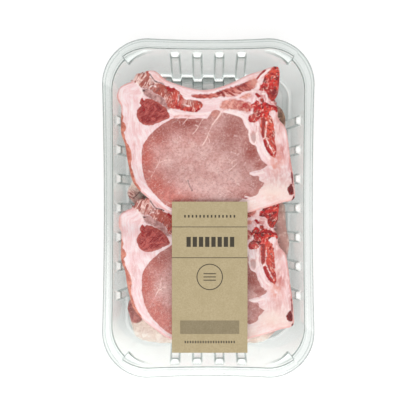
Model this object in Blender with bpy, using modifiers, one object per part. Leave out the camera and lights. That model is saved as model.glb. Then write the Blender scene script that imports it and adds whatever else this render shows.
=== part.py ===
"""A sealed tray of four bone-in pork loin chops, under clear film and a paper label.

Metres, +Z up. The origin is under the middle of the tray, on the surface that it stands on.
+X runs across the tray and +Y along it. The lengths below are in millimetres.
"""

import math

import bmesh
import bpy

MM = 0.001
GAP = 0.3                       # clearance between touching pieces

# Tray: outer size, flange and wall
TRAY_LENGTH = 230.0
TRAY_WIDTH = 144.0
TRAY_HEIGHT = 45.0
SHEET = 0.5                     # thickness of the formed plastic
FLANGE = 7.0
SKIRT = 1.8                     # down-turned outer edge of the flange
OUTER_RADIUS = 31.0
OUTER_BOW = 1.2                 # how far each outer side draws in at its middle
INNER_BOW = 0.6
INNER_CENTRE = (37.0, 79.8)     # centre of the inner corner arcs
DRAFT_LONG = 6.1                # run of the long walls from rim to floor
DRAFT_SHORT = 12.0

# Tray: floor
FOOT_HEIGHT = 3.0               # where a wall starts to turn into the floor
FOOT_RUN = 0.8
MOAT_WIDTH = 3.8                # the ring that the tray stands on
PANEL_RISE = 2.0                # the floor inside that ring is raised
PANEL_RUN = 1.2

# Tray: ribs, which are pillars that stand in from the walls
RIB_DEPTH = 3.0
RIB_BASE_HALF = 3.8
RIB_SHOULDER_HALF = 3.4
RIB_TIP_HALF = 2.25
RIB_FRONT_HALF = 2.9
LONG_RIBS = 7
LONG_PITCH = 20.1
SHORT_RIBS = 4
SHORT_PITCH = 15.2
LONG_TAB = (37.6, 31.4)         # heights of the top and the foot of a rib's sloped head
SHORT_TAB = (41.0, 37.7)

# Tray: corner lugs, a curved ledge beside each end of the short walls
LUG_ANGLE = 47.0                # its square end, in degrees from the long wall
LUG_REACH = 2.7
LUG_DEPTH = 3.0
LUG_EDGE = 0.4
CORNER_STEPS = 4                # arc steps on each side of the lug's square end
LUG_END_SPREAD = 0.8

# Film and label
FILM_MARGIN = 0.5
FILM_THICKNESS = 0.3
LABEL_THICKNESS = 0.2
LABEL_MIN = (-24.6, -97.9)
LABEL_MAX = (26.5, 4.3)

# Chops: heights of the two layers
LOWER_BOTTOM = 3.0
LOWER_TOP = 19.3
UPPER_BOTTOM = 20.0
UPPER_TOP = 35.5
CHOP_A_PLACE = (-2.3, 46.7)     # where each upper chop's own origin lies
CHOP_B_PLACE = (-2.3, -40.3)
FRONT_LIFT_TOP = 6.5            # the front of chop A lies on the back of chop B
FRONT_LIFT_BOTTOM = 12.0
FRONT_LIFT_SPAN = (32.0, 11.0)
BACK_DROP = 4.5
BACK_DROP_SPAN = (-22.0, -8.0)
CHOP_CELL = 11.0                # spacing of the relief over a chop
SLAB_MARGIN = 5.0
INLAY_LOW = 10.0                # the inlay cutters run well past both faces of a chop
INLAY_HIGH = 60.0
# Share of a chop's thickness and how far its side draws in there
SIDE_PROFILE = ((-0.15, 3.8), (0.75, 1.2), (0.86, 0.0), (1.0, 1.0), (1.2, 2.4))

# Outline of an upper chop, clockwise from the end of its rib
CHOP_OUTLINE = (
    (-48.6, 43.0), (-46.6, 46.4), (-43.6, 45.6), (-39.4, 47.9), (-35.0, 47.8), (-31.0, 45.3),
    (-27.5, 41.8), (-20.0, 38.8), (-10.0, 35.8), (0.0, 34.6), (10.0, 36.5), (20.0, 40.3),
    (30.0, 45.2), (37.0, 47.2), (44.0, 49.8), (49.6, 50.9), (51.4, 47.0), (51.0, 38.0),
    (50.0, 31.0), (47.2, 26.8), (50.2, 21.5), (50.4, 15.0), (55.5, 8.6), (57.2, 0.0),
    (58.6, -11.0), (60.2, -22.0), (61.0, -31.0), (60.8, -40.5), (52.0, -43.2), (40.0, -47.0),
    (27.0, -50.5), (14.0, -53.6), (0.0, -54.8), (-14.0, -52.8), (-26.0, -48.8), (-36.0, -41.8),
    (-44.2, -35.2), (-49.3, -28.5), (-52.0, -19.8), (-53.8, -11.0), (-55.0, -3.0), (-57.6, 4.5),
    (-57.8, 13.0), (-57.5, 20.5), (-57.8, 23.8), (-59.2, 27.5), (-59.3, 32.0), (-58.4, 36.2),
    (-54.0, 39.0), (-50.2, 40.4),
)

REACHING_THE_SIDE = ("rib", "chine")

# The pieces that show on a chop's cut face and run through it
INLAYS = {
    "eye": (
        (-43.4, -12.0), (-42.3, -4.0), (-39.5, 1.0), (-34.0, 6.5), (-28.0, 11.0), (-23.0, 14.4),
        (-12.0, 15.0), (-2.0, 14.8), (4.0, 19.6), (9.5, 20.2), (13.5, 18.6), (21.0, 17.2),
        (25.5, 14.0), (28.0, 8.5), (30.6, 2.0), (33.5, -3.5), (36.5, -10.0), (42.0, -16.6),
        (38.5, -20.0), (32.5, -22.3), (36.5, -25.5), (39.3, -29.3), (36.5, -34.5), (32.0, -38.2),
        (24.0, -42.5), (12.0, -48.0), (-2.0, -50.0), (-14.0, -48.6), (-24.0, -46.0),
        (-31.0, -41.0), (-37.0, -34.5), (-41.5, -25.0),
    ),
    "cap": (
        (-46.7, 18.0), (-45.6, 22.2), (-43.8, 24.0), (-44.6, 27.2), (-41.5, 28.8), (-36.5, 27.6),
        (-30.5, 24.6), (-26.3, 20.6), (-24.3, 16.6), (-27.5, 13.6), (-33.5, 11.0), (-39.5, 10.0),
        (-44.0, 12.2),
    ),
    "rib": (
        (-52.5, 43.5), (-48.5, 50.5), (-39.5, 51.8), (-37.8, 46.0), (-34.0, 40.4), (-29.0, 38.7),
        (-24.5, 36.4), (-20.5, 34.2), (-16.0, 31.2), (-9.0, 27.6), (-3.5, 26.9), (-1.0, 24.4),
        (-5.5, 19.6), (-14.0, 20.1), (-22.0, 21.8), (-26.3, 25.0), (-29.5, 29.3), (-36.5, 34.2),
        (-43.0, 35.0), (-47.0, 38.6),
    ),
    "chine": (
        (44.0, 53.5), (55.5, 54.5), (55.5, 36.0), (54.0, 27.0), (54.0, 20.5), (49.0, 17.0),
        (47.5, 12.0), (48.6, 4.0), (49.6, -5.0), (48.6, -12.3), (45.0, -11.0), (41.8, -6.0),
        (39.6, 0.0), (38.2, 7.0), (37.0, 12.2), (32.0, 11.0), (29.4, 14.5), (31.5, 18.0),
        (29.5, 22.0), (33.0, 25.5), (36.5, 29.5), (36.0, 33.5), (37.2, 37.0), (39.8, 41.5),
        (41.5, 46.5),
    ),
}

# Outlines of the two chops below, of which only edges show past the upper ones
UNDER_BACK_OUTLINE = (
    (54.3, 57.0), (53.6, 46.0), (53.4, 32.0), (51.5, 17.0), (46.0, 8.5), (25.0, 6.5),
    (0.0, 5.5), (-25.0, 4.0), (-43.0, 2.2), (-51.5, 2.8), (-55.2, 8.5), (-55.0, 15.0),
    (-52.4, 21.5), (-49.4, 32.0), (-50.4, 52.0), (-51.5, 68.0), (-45.0, 80.0), (-28.0, 82.0),
    (0.0, 78.0), (26.0, 81.0), (42.0, 82.0), (45.8, 74.4), (51.6, 70.2), (54.4, 63.6),
)
UNDER_FRONT_OUTLINE = (
    (-46.0, -3.5), (-25.0, -0.8), (0.0, 0.4), (25.0, 1.4), (42.0, 3.2), (49.0, 4.4),
    (53.8, 2.6), (54.6, -7.0), (55.2, -15.0), (56.8, -21.5), (56.9, -28.0), (55.4, -35.0),
    (53.0, -46.0), (53.0, -60.0), (52.5, -75.0), (47.0, -87.0), (39.0, -94.0), (28.0, -95.2),
    (10.0, -94.4), (-10.0, -94.8), (-28.0, -95.4), (-43.0, -94.0), (-51.0, -90.5),
    (-53.4, -84.5), (-55.2, -77.0), (-57.0, -71.0), (-55.8, -65.5), (-51.6, -57.0),
    (-49.0, -46.0), (-50.0, -28.0), (-51.0, -12.0),
)

MEAT = (0.72, 0.40, 0.37)
FAT = (0.93, 0.83, 0.80)
BONE = (0.60, 0.30, 0.24)


def smoothstep(start, end, value):
    """0 at start, 1 at end, eased between them; start may be the larger."""
    share = min(max((value - start) / (end - start), 0.0), 1.0)
    return share * share * (3.0 - 2.0 * share)


def make_material(name, colour, roughness, alpha=1.0):
    material = bpy.data.materials.new(name)
    material.use_nodes = True
    shader = material.node_tree.nodes["Principled BSDF"]
    shader.inputs["Base Color"].default_value = (*colour, 1.0)
    shader.inputs["Roughness"].default_value = roughness
    shader.inputs["Metallic"].default_value = 0.0
    shader.inputs["Alpha"].default_value = alpha
    return material


def add_object(name, mesh_data, collection, material=None):
    """Turn a bmesh in millimetres into an object in metres."""
    bmesh.ops.scale(mesh_data, vec=(MM, MM, MM), verts=mesh_data.verts)
    mesh = bpy.data.meshes.new(name)
    mesh_data.to_mesh(mesh)
    mesh_data.free()
    if material:
        mesh.materials.append(material)
    model = bpy.data.objects.new(name, mesh)
    collection.objects.link(model)
    return model


def add_cutter(name, mesh_data, collection):
    cutter = add_object(name, mesh_data, collection)
    cutter.hide_render = True
    cutter.display_type = "WIRE"
    return cutter


def add_boolean(model, operation, cutter):
    cut = model.modifiers.new(f"{operation.title()} {cutter.name}", "BOOLEAN")
    cut.operation = operation
    cut.solver = "EXACT"
    cut.object = cutter


def loft(rings, cap_first=False, cap_last=False):
    """Join rings of equal length with quads."""
    mesh_data = bmesh.new()
    loops = [[mesh_data.verts.new(point) for point in ring] for ring in rings]
    count = len(loops[0])
    for outer, inner in zip(loops, loops[1:]):
        for index in range(count):
            following = (index + 1) % count
            mesh_data.faces.new((outer[index], outer[following], inner[following], inner[index]))
    if cap_first:
        mesh_data.faces.new(loops[0])
    if cap_last:
        mesh_data.faces.new(loops[-1])
    return mesh_data


def closed_loft(rings):
    mesh_data = loft(rings, cap_first=True, cap_last=True)
    bmesh.ops.triangulate(mesh_data, faces=mesh_data.faces)
    bmesh.ops.recalc_face_normals(mesh_data, faces=mesh_data.faces)
    return mesh_data


def grown(outline, distance):
    """Move a clockwise outline outwards by a distance, or inwards by a negative one."""
    moved = []
    for index, (x, y) in enumerate(outline):
        before = outline[index - 1]
        after = outline[(index + 1) % len(outline)]
        along_x, along_y = after[0] - before[0], after[1] - before[1]
        length = math.hypot(along_x, along_y)
        moved.append((x - along_y / length * distance, y + along_x / length * distance))
    return moved


# Tray

def wall_reach(height):
    """Half the width and half the length of the inner wall at a height."""
    drop = (TRAY_HEIGHT - height) / TRAY_HEIGHT
    rim_x = TRAY_WIDTH / 2 - FLANGE
    rim_y = TRAY_LENGTH / 2 - FLANGE
    return rim_x - DRAFT_LONG * drop, rim_y - DRAFT_SHORT * drop


def tray_rows():
    """Rows of the tray's upper surface, from the skirt in to the floor's raised panel.

    Each row gives its height at the long and the short walls, how far it lies in from the
    wall there, how far its ribs stand in and how wide they are, and the lug's reach.
    """
    ledge = TRAY_HEIGHT - LUG_DEPTH
    moat = SHEET
    panel = moat + PANEL_RISE
    moat_inner = FOOT_RUN + MOAT_WIDTH
    return (
        {"z": (TRAY_HEIGHT - SKIRT,) * 2, "outer": True},
        {"z": (TRAY_HEIGHT,) * 2, "outer": True},
        {"z": (TRAY_HEIGHT,) * 2, "lug": LUG_REACH},
        {"z": (ledge,) * 2, "lug": LUG_REACH - LUG_EDGE},
        {"z": (ledge - LUG_EDGE,) * 2, "lug": -LUG_REACH},
        {"z": (LONG_TAB[0], SHORT_TAB[0] - LUG_EDGE), "lug": -LUG_REACH},
        {"z": (LONG_TAB[1], SHORT_TAB[1]), "rib": RIB_DEPTH, "half": RIB_TIP_HALF,
         "lug": -LUG_REACH / 2},
        {"z": (FOOT_HEIGHT,) * 2, "rib": RIB_DEPTH, "half": RIB_FRONT_HALF},
        {"z": (moat,) * 2, "in": FOOT_RUN, "rib": RIB_DEPTH, "half": RIB_FRONT_HALF},
        {"z": (moat,) * 2, "in": moat_inner, "rib": RIB_DEPTH, "half": RIB_FRONT_HALF},
        {"z": (panel,) * 2, "in": moat_inner + PANEL_RUN, "rib": RIB_DEPTH,
         "half": RIB_FRONT_HALF},
    )


def row_shape(row, at_long_wall):
    """Half width, half length and corner centre of a row, at the height of one wall."""
    if row.get("outer"):
        half = (TRAY_WIDTH / 2, TRAY_LENGTH / 2)
        return half, (half[0] - OUTER_RADIUS, half[1] - OUTER_RADIUS)
    reach = wall_reach(row["z"][0 if at_long_wall else 1])
    inset = row.get("in", 0.0)
    return (reach[0] - inset, reach[1] - inset), INNER_CENTRE


def side_points(row, long_side):
    """One straight side of a row: pairs of its place along the side and its reach."""
    ribs, pitch = (LONG_RIBS, LONG_PITCH) if long_side else (SHORT_RIBS, SHORT_PITCH)
    half, centre = row_shape(row, long_side)
    axis = 0 if long_side else 1
    end = centre[1 - axis]
    bow = OUTER_BOW if row.get("outer") else INNER_BOW
    half_front = row.get("half", RIB_SHOULDER_HALF)
    points = []
    for number in range(ribs):
        middle = (number - (ribs - 1) / 2) * pitch
        for offset, depth in ((-RIB_BASE_HALF, 0.0), (-half_front, row.get("rib", 0.0)),
                              (half_front, row.get("rib", 0.0)), (RIB_BASE_HALF, 0.0)):
            along = middle + offset
            drawn_in = bow * (1.0 - (along / end) ** 2)
            points.append((along, half[axis] - drawn_in - depth))
    return points


def corner_stations():
    """Angles of a corner from the long wall, each with the lug's share there."""
    first = LUG_ANGLE - LUG_END_SPREAD
    last = LUG_ANGLE + LUG_END_SPREAD
    stations = [(first * step / CORNER_STEPS, 0.0) for step in range(CORNER_STEPS + 1)]
    for step in range(CORNER_STEPS + 1):
        share = step / CORNER_STEPS
        stations.append((last + (90.0 - last) * share, 1.0 - share))
    return stations


def corner_points(row):
    """One corner of a row in the +X +Y quarter, from the long wall to the short one."""
    points = []
    for angle, lug in corner_stations():
        turn = math.radians(angle)
        share = angle / 90.0
        half_long, centre = row_shape(row, True)
        half_short = row_shape(row, False)[0]
        half_x = half_long[0] * (1.0 - share) + half_short[0] * share
        half_y = half_long[1] * (1.0 - share) + half_short[1] * share
        height = row["z"][0] * (1.0 - share) + row["z"][1] * share
        push = row.get("lug", 0.0) * lug
        points.append((centre[0] + (half_x - centre[0] + push) * math.cos(turn),
                       centre[1] + (half_y - centre[1] + push) * math.sin(turn), height))
    return points


def tray_ring(row):
    """A whole row, anticlockwise from the foot of the +X side."""
    long_side = side_points(row, True)
    short_side = side_points(row, False)
    corner = corner_points(row)
    z_long, z_short = row["z"]
    ring = []
    ring += [(reach, along, z_long) for along, reach in long_side]
    ring += corner
    ring += [(-along, reach, z_short) for along, reach in short_side]
    ring += [(-x, y, z) for x, y, z in reversed(corner)]
    ring += [(-reach, -along, z_long) for along, reach in long_side]
    ring += [(-x, -y, z) for x, y, z in corner]
    ring += [(along, -reach, z_short) for along, reach in short_side]
    ring += [(x, -y, z) for x, y, z in reversed(corner)]
    return ring


def build_tray(collection):
    plastic = make_material("Clear plastic", (0.84, 0.87, 0.85), 0.08, alpha=0.35)
    mesh_data = loft([tray_ring(row) for row in tray_rows()], cap_last=True)
    tray = add_object("tray", mesh_data, collection, plastic)
    shell = tray.modifiers.new("Sheet", "SOLIDIFY")
    shell.thickness = SHEET * MM
    shell.offset = -1.0
    shell.solidify_mode = "NON_MANIFOLD"
    shell.nonmanifold_thickness_mode = "CONSTRAINTS"
    return tray


# Film and label

def film_outline():
    """The flange's outer edge, with the film's margin, as one corner mirrored four times."""
    half_x = TRAY_WIDTH / 2 - FILM_MARGIN
    half_y = TRAY_LENGTH / 2 - FILM_MARGIN
    radius = OUTER_RADIUS - FILM_MARGIN
    steps = 2 * CORNER_STEPS
    corner = []
    for step in range(steps + 1):
        turn = math.pi / 2 * step / steps
        corner.append((half_x - radius + radius * math.cos(turn),
                       half_y - radius + radius * math.sin(turn)))
    mid_x = half_x - OUTER_BOW
    mid_y = half_y - OUTER_BOW
    return ([(mid_x, 0.0)] + corner + [(0.0, mid_y)] + [(-x, y) for x, y in reversed(corner)]
            + [(-mid_x, 0.0)] + [(-x, -y) for x, y in corner]
            + [(0.0, -mid_y)] + [(x, -y) for x, y in reversed(corner)])


def build_film(collection):
    clear = make_material("Lidding film", (0.95, 0.97, 0.96), 0.05, alpha=0.15)
    low = TRAY_HEIGHT + GAP / 2
    outline = film_outline()
    rings = [[(x, y, z) for x, y in outline] for z in (low, low + FILM_THICKNESS)]
    return add_object("film", closed_loft(rings), collection, clear)


def build_label(collection):
    paper = make_material("Label paper", (0.53, 0.44, 0.27), 0.8)
    mesh_data = bmesh.new()
    bmesh.ops.create_cube(mesh_data, size=1.0)
    size_x = LABEL_MAX[0] - LABEL_MIN[0]
    size_y = LABEL_MAX[1] - LABEL_MIN[1]
    bmesh.ops.scale(mesh_data, vec=(size_x, size_y, LABEL_THICKNESS), verts=mesh_data.verts)
    centre_x = (LABEL_MIN[0] + LABEL_MAX[0]) / 2
    centre_y = (LABEL_MIN[1] + LABEL_MAX[1]) / 2
    base = TRAY_HEIGHT + GAP + FILM_THICKNESS
    place = (centre_x, centre_y, base + LABEL_THICKNESS / 2)
    bmesh.ops.translate(mesh_data, vec=place, verts=mesh_data.verts)
    return add_object("label", mesh_data, collection, paper)


# Chops

def chop_relief(x, y):
    """Soft rise and fall of a cut face, in the chop's own frame."""
    waves = 0.22 * math.sin(x / 10.0 + 0.6) * math.cos(y / 12.0)
    eye_swell = 0.45 * math.exp(-((x / 28.0) ** 2 + ((y + 18.0) / 22.0) ** 2))
    bone_dip = 0.35 * math.exp(-(((x + 28.0) / 20.0) ** 2 + ((y - 32.0) / 9.0) ** 2))
    return waves + eye_swell - bone_dip


def level_a(x, y):
    """Bottom and top of chop A: its front climbs over chop B."""
    climb = smoothstep(*FRONT_LIFT_SPAN, y)
    return UPPER_BOTTOM + FRONT_LIFT_BOTTOM * climb, UPPER_TOP + FRONT_LIFT_TOP * climb


def level_b(x, y):
    """Bottom and top of chop B: its back dips under chop A."""
    return UPPER_BOTTOM, UPPER_TOP - BACK_DROP * smoothstep(*BACK_DROP_SPAN, y)


def level_under(x, y):
    return LOWER_BOTTOM, LOWER_TOP


def chop_slab(outline, place, level, relief_share):
    """A block with both faces of a chop, larger than its outline."""
    xs = [x for x, _ in outline]
    ys = [y for _, y in outline]
    low_x, high_x = min(xs) - SLAB_MARGIN, max(xs) + SLAB_MARGIN
    low_y, high_y = min(ys) - SLAB_MARGIN, max(ys) + SLAB_MARGIN
    mesh_data = bmesh.new()
    bmesh.ops.create_grid(mesh_data, x_segments=round((high_x - low_x) / CHOP_CELL),
                          y_segments=round((high_y - low_y) / CHOP_CELL), size=0.5)
    bmesh.ops.scale(mesh_data, vec=(high_x - low_x, high_y - low_y, 1.0), verts=mesh_data.verts)
    centre = ((low_x + high_x) / 2, (low_y + high_y) / 2, 0.0)
    bmesh.ops.translate(mesh_data, vec=centre, verts=mesh_data.verts)
    top = list(mesh_data.verts)
    extruded = bmesh.ops.extrude_face_region(mesh_data, geom=list(mesh_data.faces))
    bottom = [part for part in extruded["geom"] if isinstance(part, bmesh.types.BMVert)]
    for vertex in top:
        x, y = vertex.co.x, vertex.co.y
        high = level(x + place[0], y + place[1])[1]
        vertex.co = (x + place[0], y + place[1], high + relief_share * chop_relief(x, y))
    for vertex in bottom:
        x, y = vertex.co.x + place[0], vertex.co.y + place[1]
        vertex.co = (x, y, level(x, y)[0])
    edges = [edge for edge in mesh_data.edges if all(vertex in bottom for vertex in edge.verts)]
    bmesh.ops.dissolve_limit(mesh_data, angle_limit=math.radians(0.5), verts=bottom, edges=edges)
    bmesh.ops.triangulate(mesh_data, faces=mesh_data.faces)
    bmesh.ops.recalc_face_normals(mesh_data, faces=mesh_data.faces)
    return mesh_data


def chop_side(outline, place, level):
    """The chop's outer side as a closed form that runs past both faces."""
    rings = []
    for share, inset in SIDE_PROFILE:
        ring = []
        for x, y in grown(outline, -inset):
            low, high = level(x + place[0], y + place[1])
            ring.append((x + place[0], y + place[1], low + (high - low) * share))
        rings.append(ring)
    return closed_loft(rings)


def inlay_cutter(outline, place, growth):
    shape = grown(outline, growth)
    return closed_loft([[(x + place[0], y + place[1], z) for x, y in shape]
                        for z in (INLAY_LOW, INLAY_HIGH)])


def build_upper_chop(name, place, level, collection, cutters, materials):
    """Fat and thin muscles as one body, with eye, cap muscle, rib and chine bone let in."""
    side = add_cutter(f"{name}_side", chop_side(CHOP_OUTLINE, place, level), cutters)
    body = add_object(name, chop_slab(CHOP_OUTLINE, place, level, 1.0), collection,
                      materials["body"])
    add_boolean(body, "INTERSECT", side)
    for part, outline in INLAYS.items():
        socket = add_cutter(f"{name}_{part}_socket", inlay_cutter(outline, place, GAP), cutters)
        add_boolean(body, "DIFFERENCE", socket)
        core = add_cutter(f"{name}_{part}_core", inlay_cutter(outline, place, 0.0), cutters)
        inlay = add_object(f"{name}_{part}", chop_slab(CHOP_OUTLINE, place, level, 1.0),
                           collection, materials[part])
        add_boolean(inlay, "INTERSECT", core)
        if part in REACHING_THE_SIDE:
            add_boolean(inlay, "INTERSECT", side)


def build_under_chop(name, outline, collection, cutters, material):
    place = (0.0, 0.0)
    side = add_cutter(f"{name}_side", chop_side(outline, place, level_under), cutters)
    body = add_object(name, chop_slab(outline, place, level_under, 0.5), collection, material)
    add_boolean(body, "INTERSECT", side)


def build():
    for model in list(bpy.data.objects):
        bpy.data.objects.remove(model, do_unlink=True)
    parts = bpy.data.collections.new("Meat tray pack")
    cutters = bpy.data.collections.new("Cutters")
    bpy.context.scene.collection.children.link(parts)
    bpy.context.scene.collection.children.link(cutters)

    build_tray(parts)
    build_film(parts)
    build_label(parts)

    materials = {
        "body": make_material("Pork fat", FAT, 0.45),
        "eye": make_material("Loin", MEAT, 0.4),
        "cap": make_material("Cap muscle", (0.42, 0.10, 0.09), 0.4),
        "rib": make_material("Rib bone", BONE, 0.5),
        "chine": make_material("Chine bone", (0.52, 0.10, 0.08), 0.4),
    }
    build_upper_chop("chop_a", CHOP_A_PLACE, level_a, parts, cutters, materials)
    build_upper_chop("chop_b", CHOP_B_PLACE, level_b, parts, cutters, materials)
    under = make_material("Shaded meat", (0.66, 0.46, 0.42), 0.5)
    build_under_chop("under_chop_back", UNDER_BACK_OUTLINE, parts, cutters, under)
    build_under_chop("under_chop_front", UNDER_FRONT_OUTLINE, parts, cutters, under)


build()
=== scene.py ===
"""The looks of a sealed meat tray: clear ribbed tray, lidding film, paper label and pork chops.

Lengths in the tables are millimetres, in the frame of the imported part: +X across the tray,
+Y along it, +Z up. A chop's own outlines are drawn about its own middle, seen from above.
"""

import math

import bmesh
import bpy
import numpy as np
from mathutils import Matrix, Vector, noise


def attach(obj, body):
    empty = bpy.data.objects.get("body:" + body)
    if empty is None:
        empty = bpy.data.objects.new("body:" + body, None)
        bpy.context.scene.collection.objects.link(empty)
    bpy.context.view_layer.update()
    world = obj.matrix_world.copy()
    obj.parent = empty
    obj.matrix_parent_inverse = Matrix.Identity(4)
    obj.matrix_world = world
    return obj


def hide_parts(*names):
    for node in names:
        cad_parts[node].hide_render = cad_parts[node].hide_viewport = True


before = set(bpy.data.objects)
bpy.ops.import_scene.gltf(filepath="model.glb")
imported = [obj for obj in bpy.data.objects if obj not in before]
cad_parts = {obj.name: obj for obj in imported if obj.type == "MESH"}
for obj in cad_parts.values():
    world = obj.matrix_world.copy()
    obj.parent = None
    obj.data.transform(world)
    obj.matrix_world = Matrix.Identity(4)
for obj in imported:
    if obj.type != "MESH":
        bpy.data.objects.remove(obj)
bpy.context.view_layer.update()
MM = 0.001

# Tray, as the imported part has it
TRAY_LENGTH = 230.0
TRAY_WIDTH = 144.0
TRAY_HEIGHT = 45.0
SHEET = 0.5
FLANGE = 7.0
SKIRT = 1.8
OUTER_RADIUS = 31.0
OUTER_BOW = 1.2
INNER_BOW = 0.6
INNER_CENTRE = (37.0, 79.8)
DRAFT_LONG = 6.1
DRAFT_SHORT = 12.0
RIB_DEPTH = 3.0
RIB_BASE_HALF = 3.8
RIB_TIP_HALF = 2.25
RIB_FRONT_HALF = 2.9
LONG_RIBS = 7
LONG_PITCH = 20.1
SHORT_RIBS = 4
SHORT_PITCH = 15.2
LONG_TAB = (37.6, 31.4)
SHORT_TAB = (41.0, 37.7)
LUG_ANGLE = 47.0
LUG_REACH = 2.7

# Chops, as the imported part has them
LOWER_BOTTOM = 3.0
LOWER_TOP = 19.3
UPPER_BOTTOM = 20.0
UPPER_TOP = 35.5
CHOP_A_PLACE = (-2.3, 46.7)
CHOP_B_PLACE = (-2.3, -40.3)
FRONT_LIFT_TOP = 6.5
FRONT_LIFT_BOTTOM = 12.0
FRONT_LIFT_SPAN = (32.0, 11.0)
BACK_DROP = 4.5
BACK_DROP_SPAN = (-22.0, -8.0)
SIDE_SHARES = (0.0, 0.75, 0.86, 1.0)
SIDE_INSETS = (3.4, 1.2, 0.0, 0.7)
SIDE_FADE = 9.0                 # how far in from its edge a chop's side is shaped
UPPER_VOXEL = 0.7
UNDER_VOXEL = 1.0

CHOP_OUTLINE = (
    (-48.6, 43.0), (-46.6, 46.4), (-43.6, 45.6), (-39.4, 47.9), (-35.0, 47.8), (-31.0, 45.3),
    (-27.5, 41.8), (-20.0, 38.8), (-10.0, 35.8), (0.0, 34.6), (10.0, 36.5), (20.0, 40.3),
    (30.0, 45.2), (37.0, 47.2), (44.0, 49.8), (49.6, 50.9), (51.4, 47.0), (51.0, 38.0),
    (50.0, 31.0), (47.2, 26.8), (50.2, 21.5), (50.4, 15.0), (55.5, 8.6), (57.2, 0.0),
    (58.6, -11.0), (60.2, -22.0), (61.0, -31.0), (60.8, -40.5), (52.0, -43.2), (40.0, -47.0),
    (27.0, -50.5), (14.0, -53.6), (0.0, -54.8), (-14.0, -52.8), (-26.0, -48.8), (-36.0, -41.8),
    (-44.2, -35.2), (-49.3, -28.5), (-52.0, -19.8), (-53.8, -11.0), (-55.0, -3.0), (-57.6, 4.5),
    (-57.8, 13.0), (-57.5, 20.5), (-57.8, 23.8), (-59.2, 27.5), (-59.3, 32.0), (-58.4, 36.2),
    (-54.0, 39.0), (-50.2, 40.4),
)
UNDER_BACK_OUTLINE = (
    (54.3, 57.0), (53.6, 46.0), (53.4, 32.0), (51.5, 17.0), (46.0, 8.5), (25.0, 6.5),
    (0.0, 5.5), (-25.0, 4.0), (-43.0, 2.2), (-51.5, 2.8), (-55.2, 8.5), (-55.0, 15.0),
    (-52.4, 21.5), (-49.4, 32.0), (-50.4, 52.0), (-51.5, 68.0), (-45.0, 80.0), (-28.0, 82.0),
    (0.0, 78.0), (26.0, 81.0), (42.0, 82.0), (45.8, 74.4), (51.6, 70.2), (54.4, 63.6),
)
UNDER_FRONT_OUTLINE = (
    (-46.0, -2.0), (-36.0, 0.0), (-25.0, 0.4), (0.0, 0.6), (25.0, 1.4), (42.0, 3.2), (49.0, 4.4),
    (53.8, 2.6), (54.6, -7.0), (55.2, -15.0), (56.8, -21.5), (56.9, -28.0), (55.4, -35.0),
    (53.0, -46.0), (53.0, -60.0), (52.5, -75.0), (47.0, -87.0), (39.0, -94.0), (28.0, -95.2),
    (10.0, -94.4), (-10.0, -94.8), (-28.0, -95.4), (-43.0, -94.0), (-51.0, -90.5),
    (-53.4, -84.5), (-55.2, -77.0), (-57.0, -71.0), (-55.8, -65.5), (-51.6, -57.0),
    (-49.0, -46.0), (-50.0, -28.0), (-51.0, -12.0),
)

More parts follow.
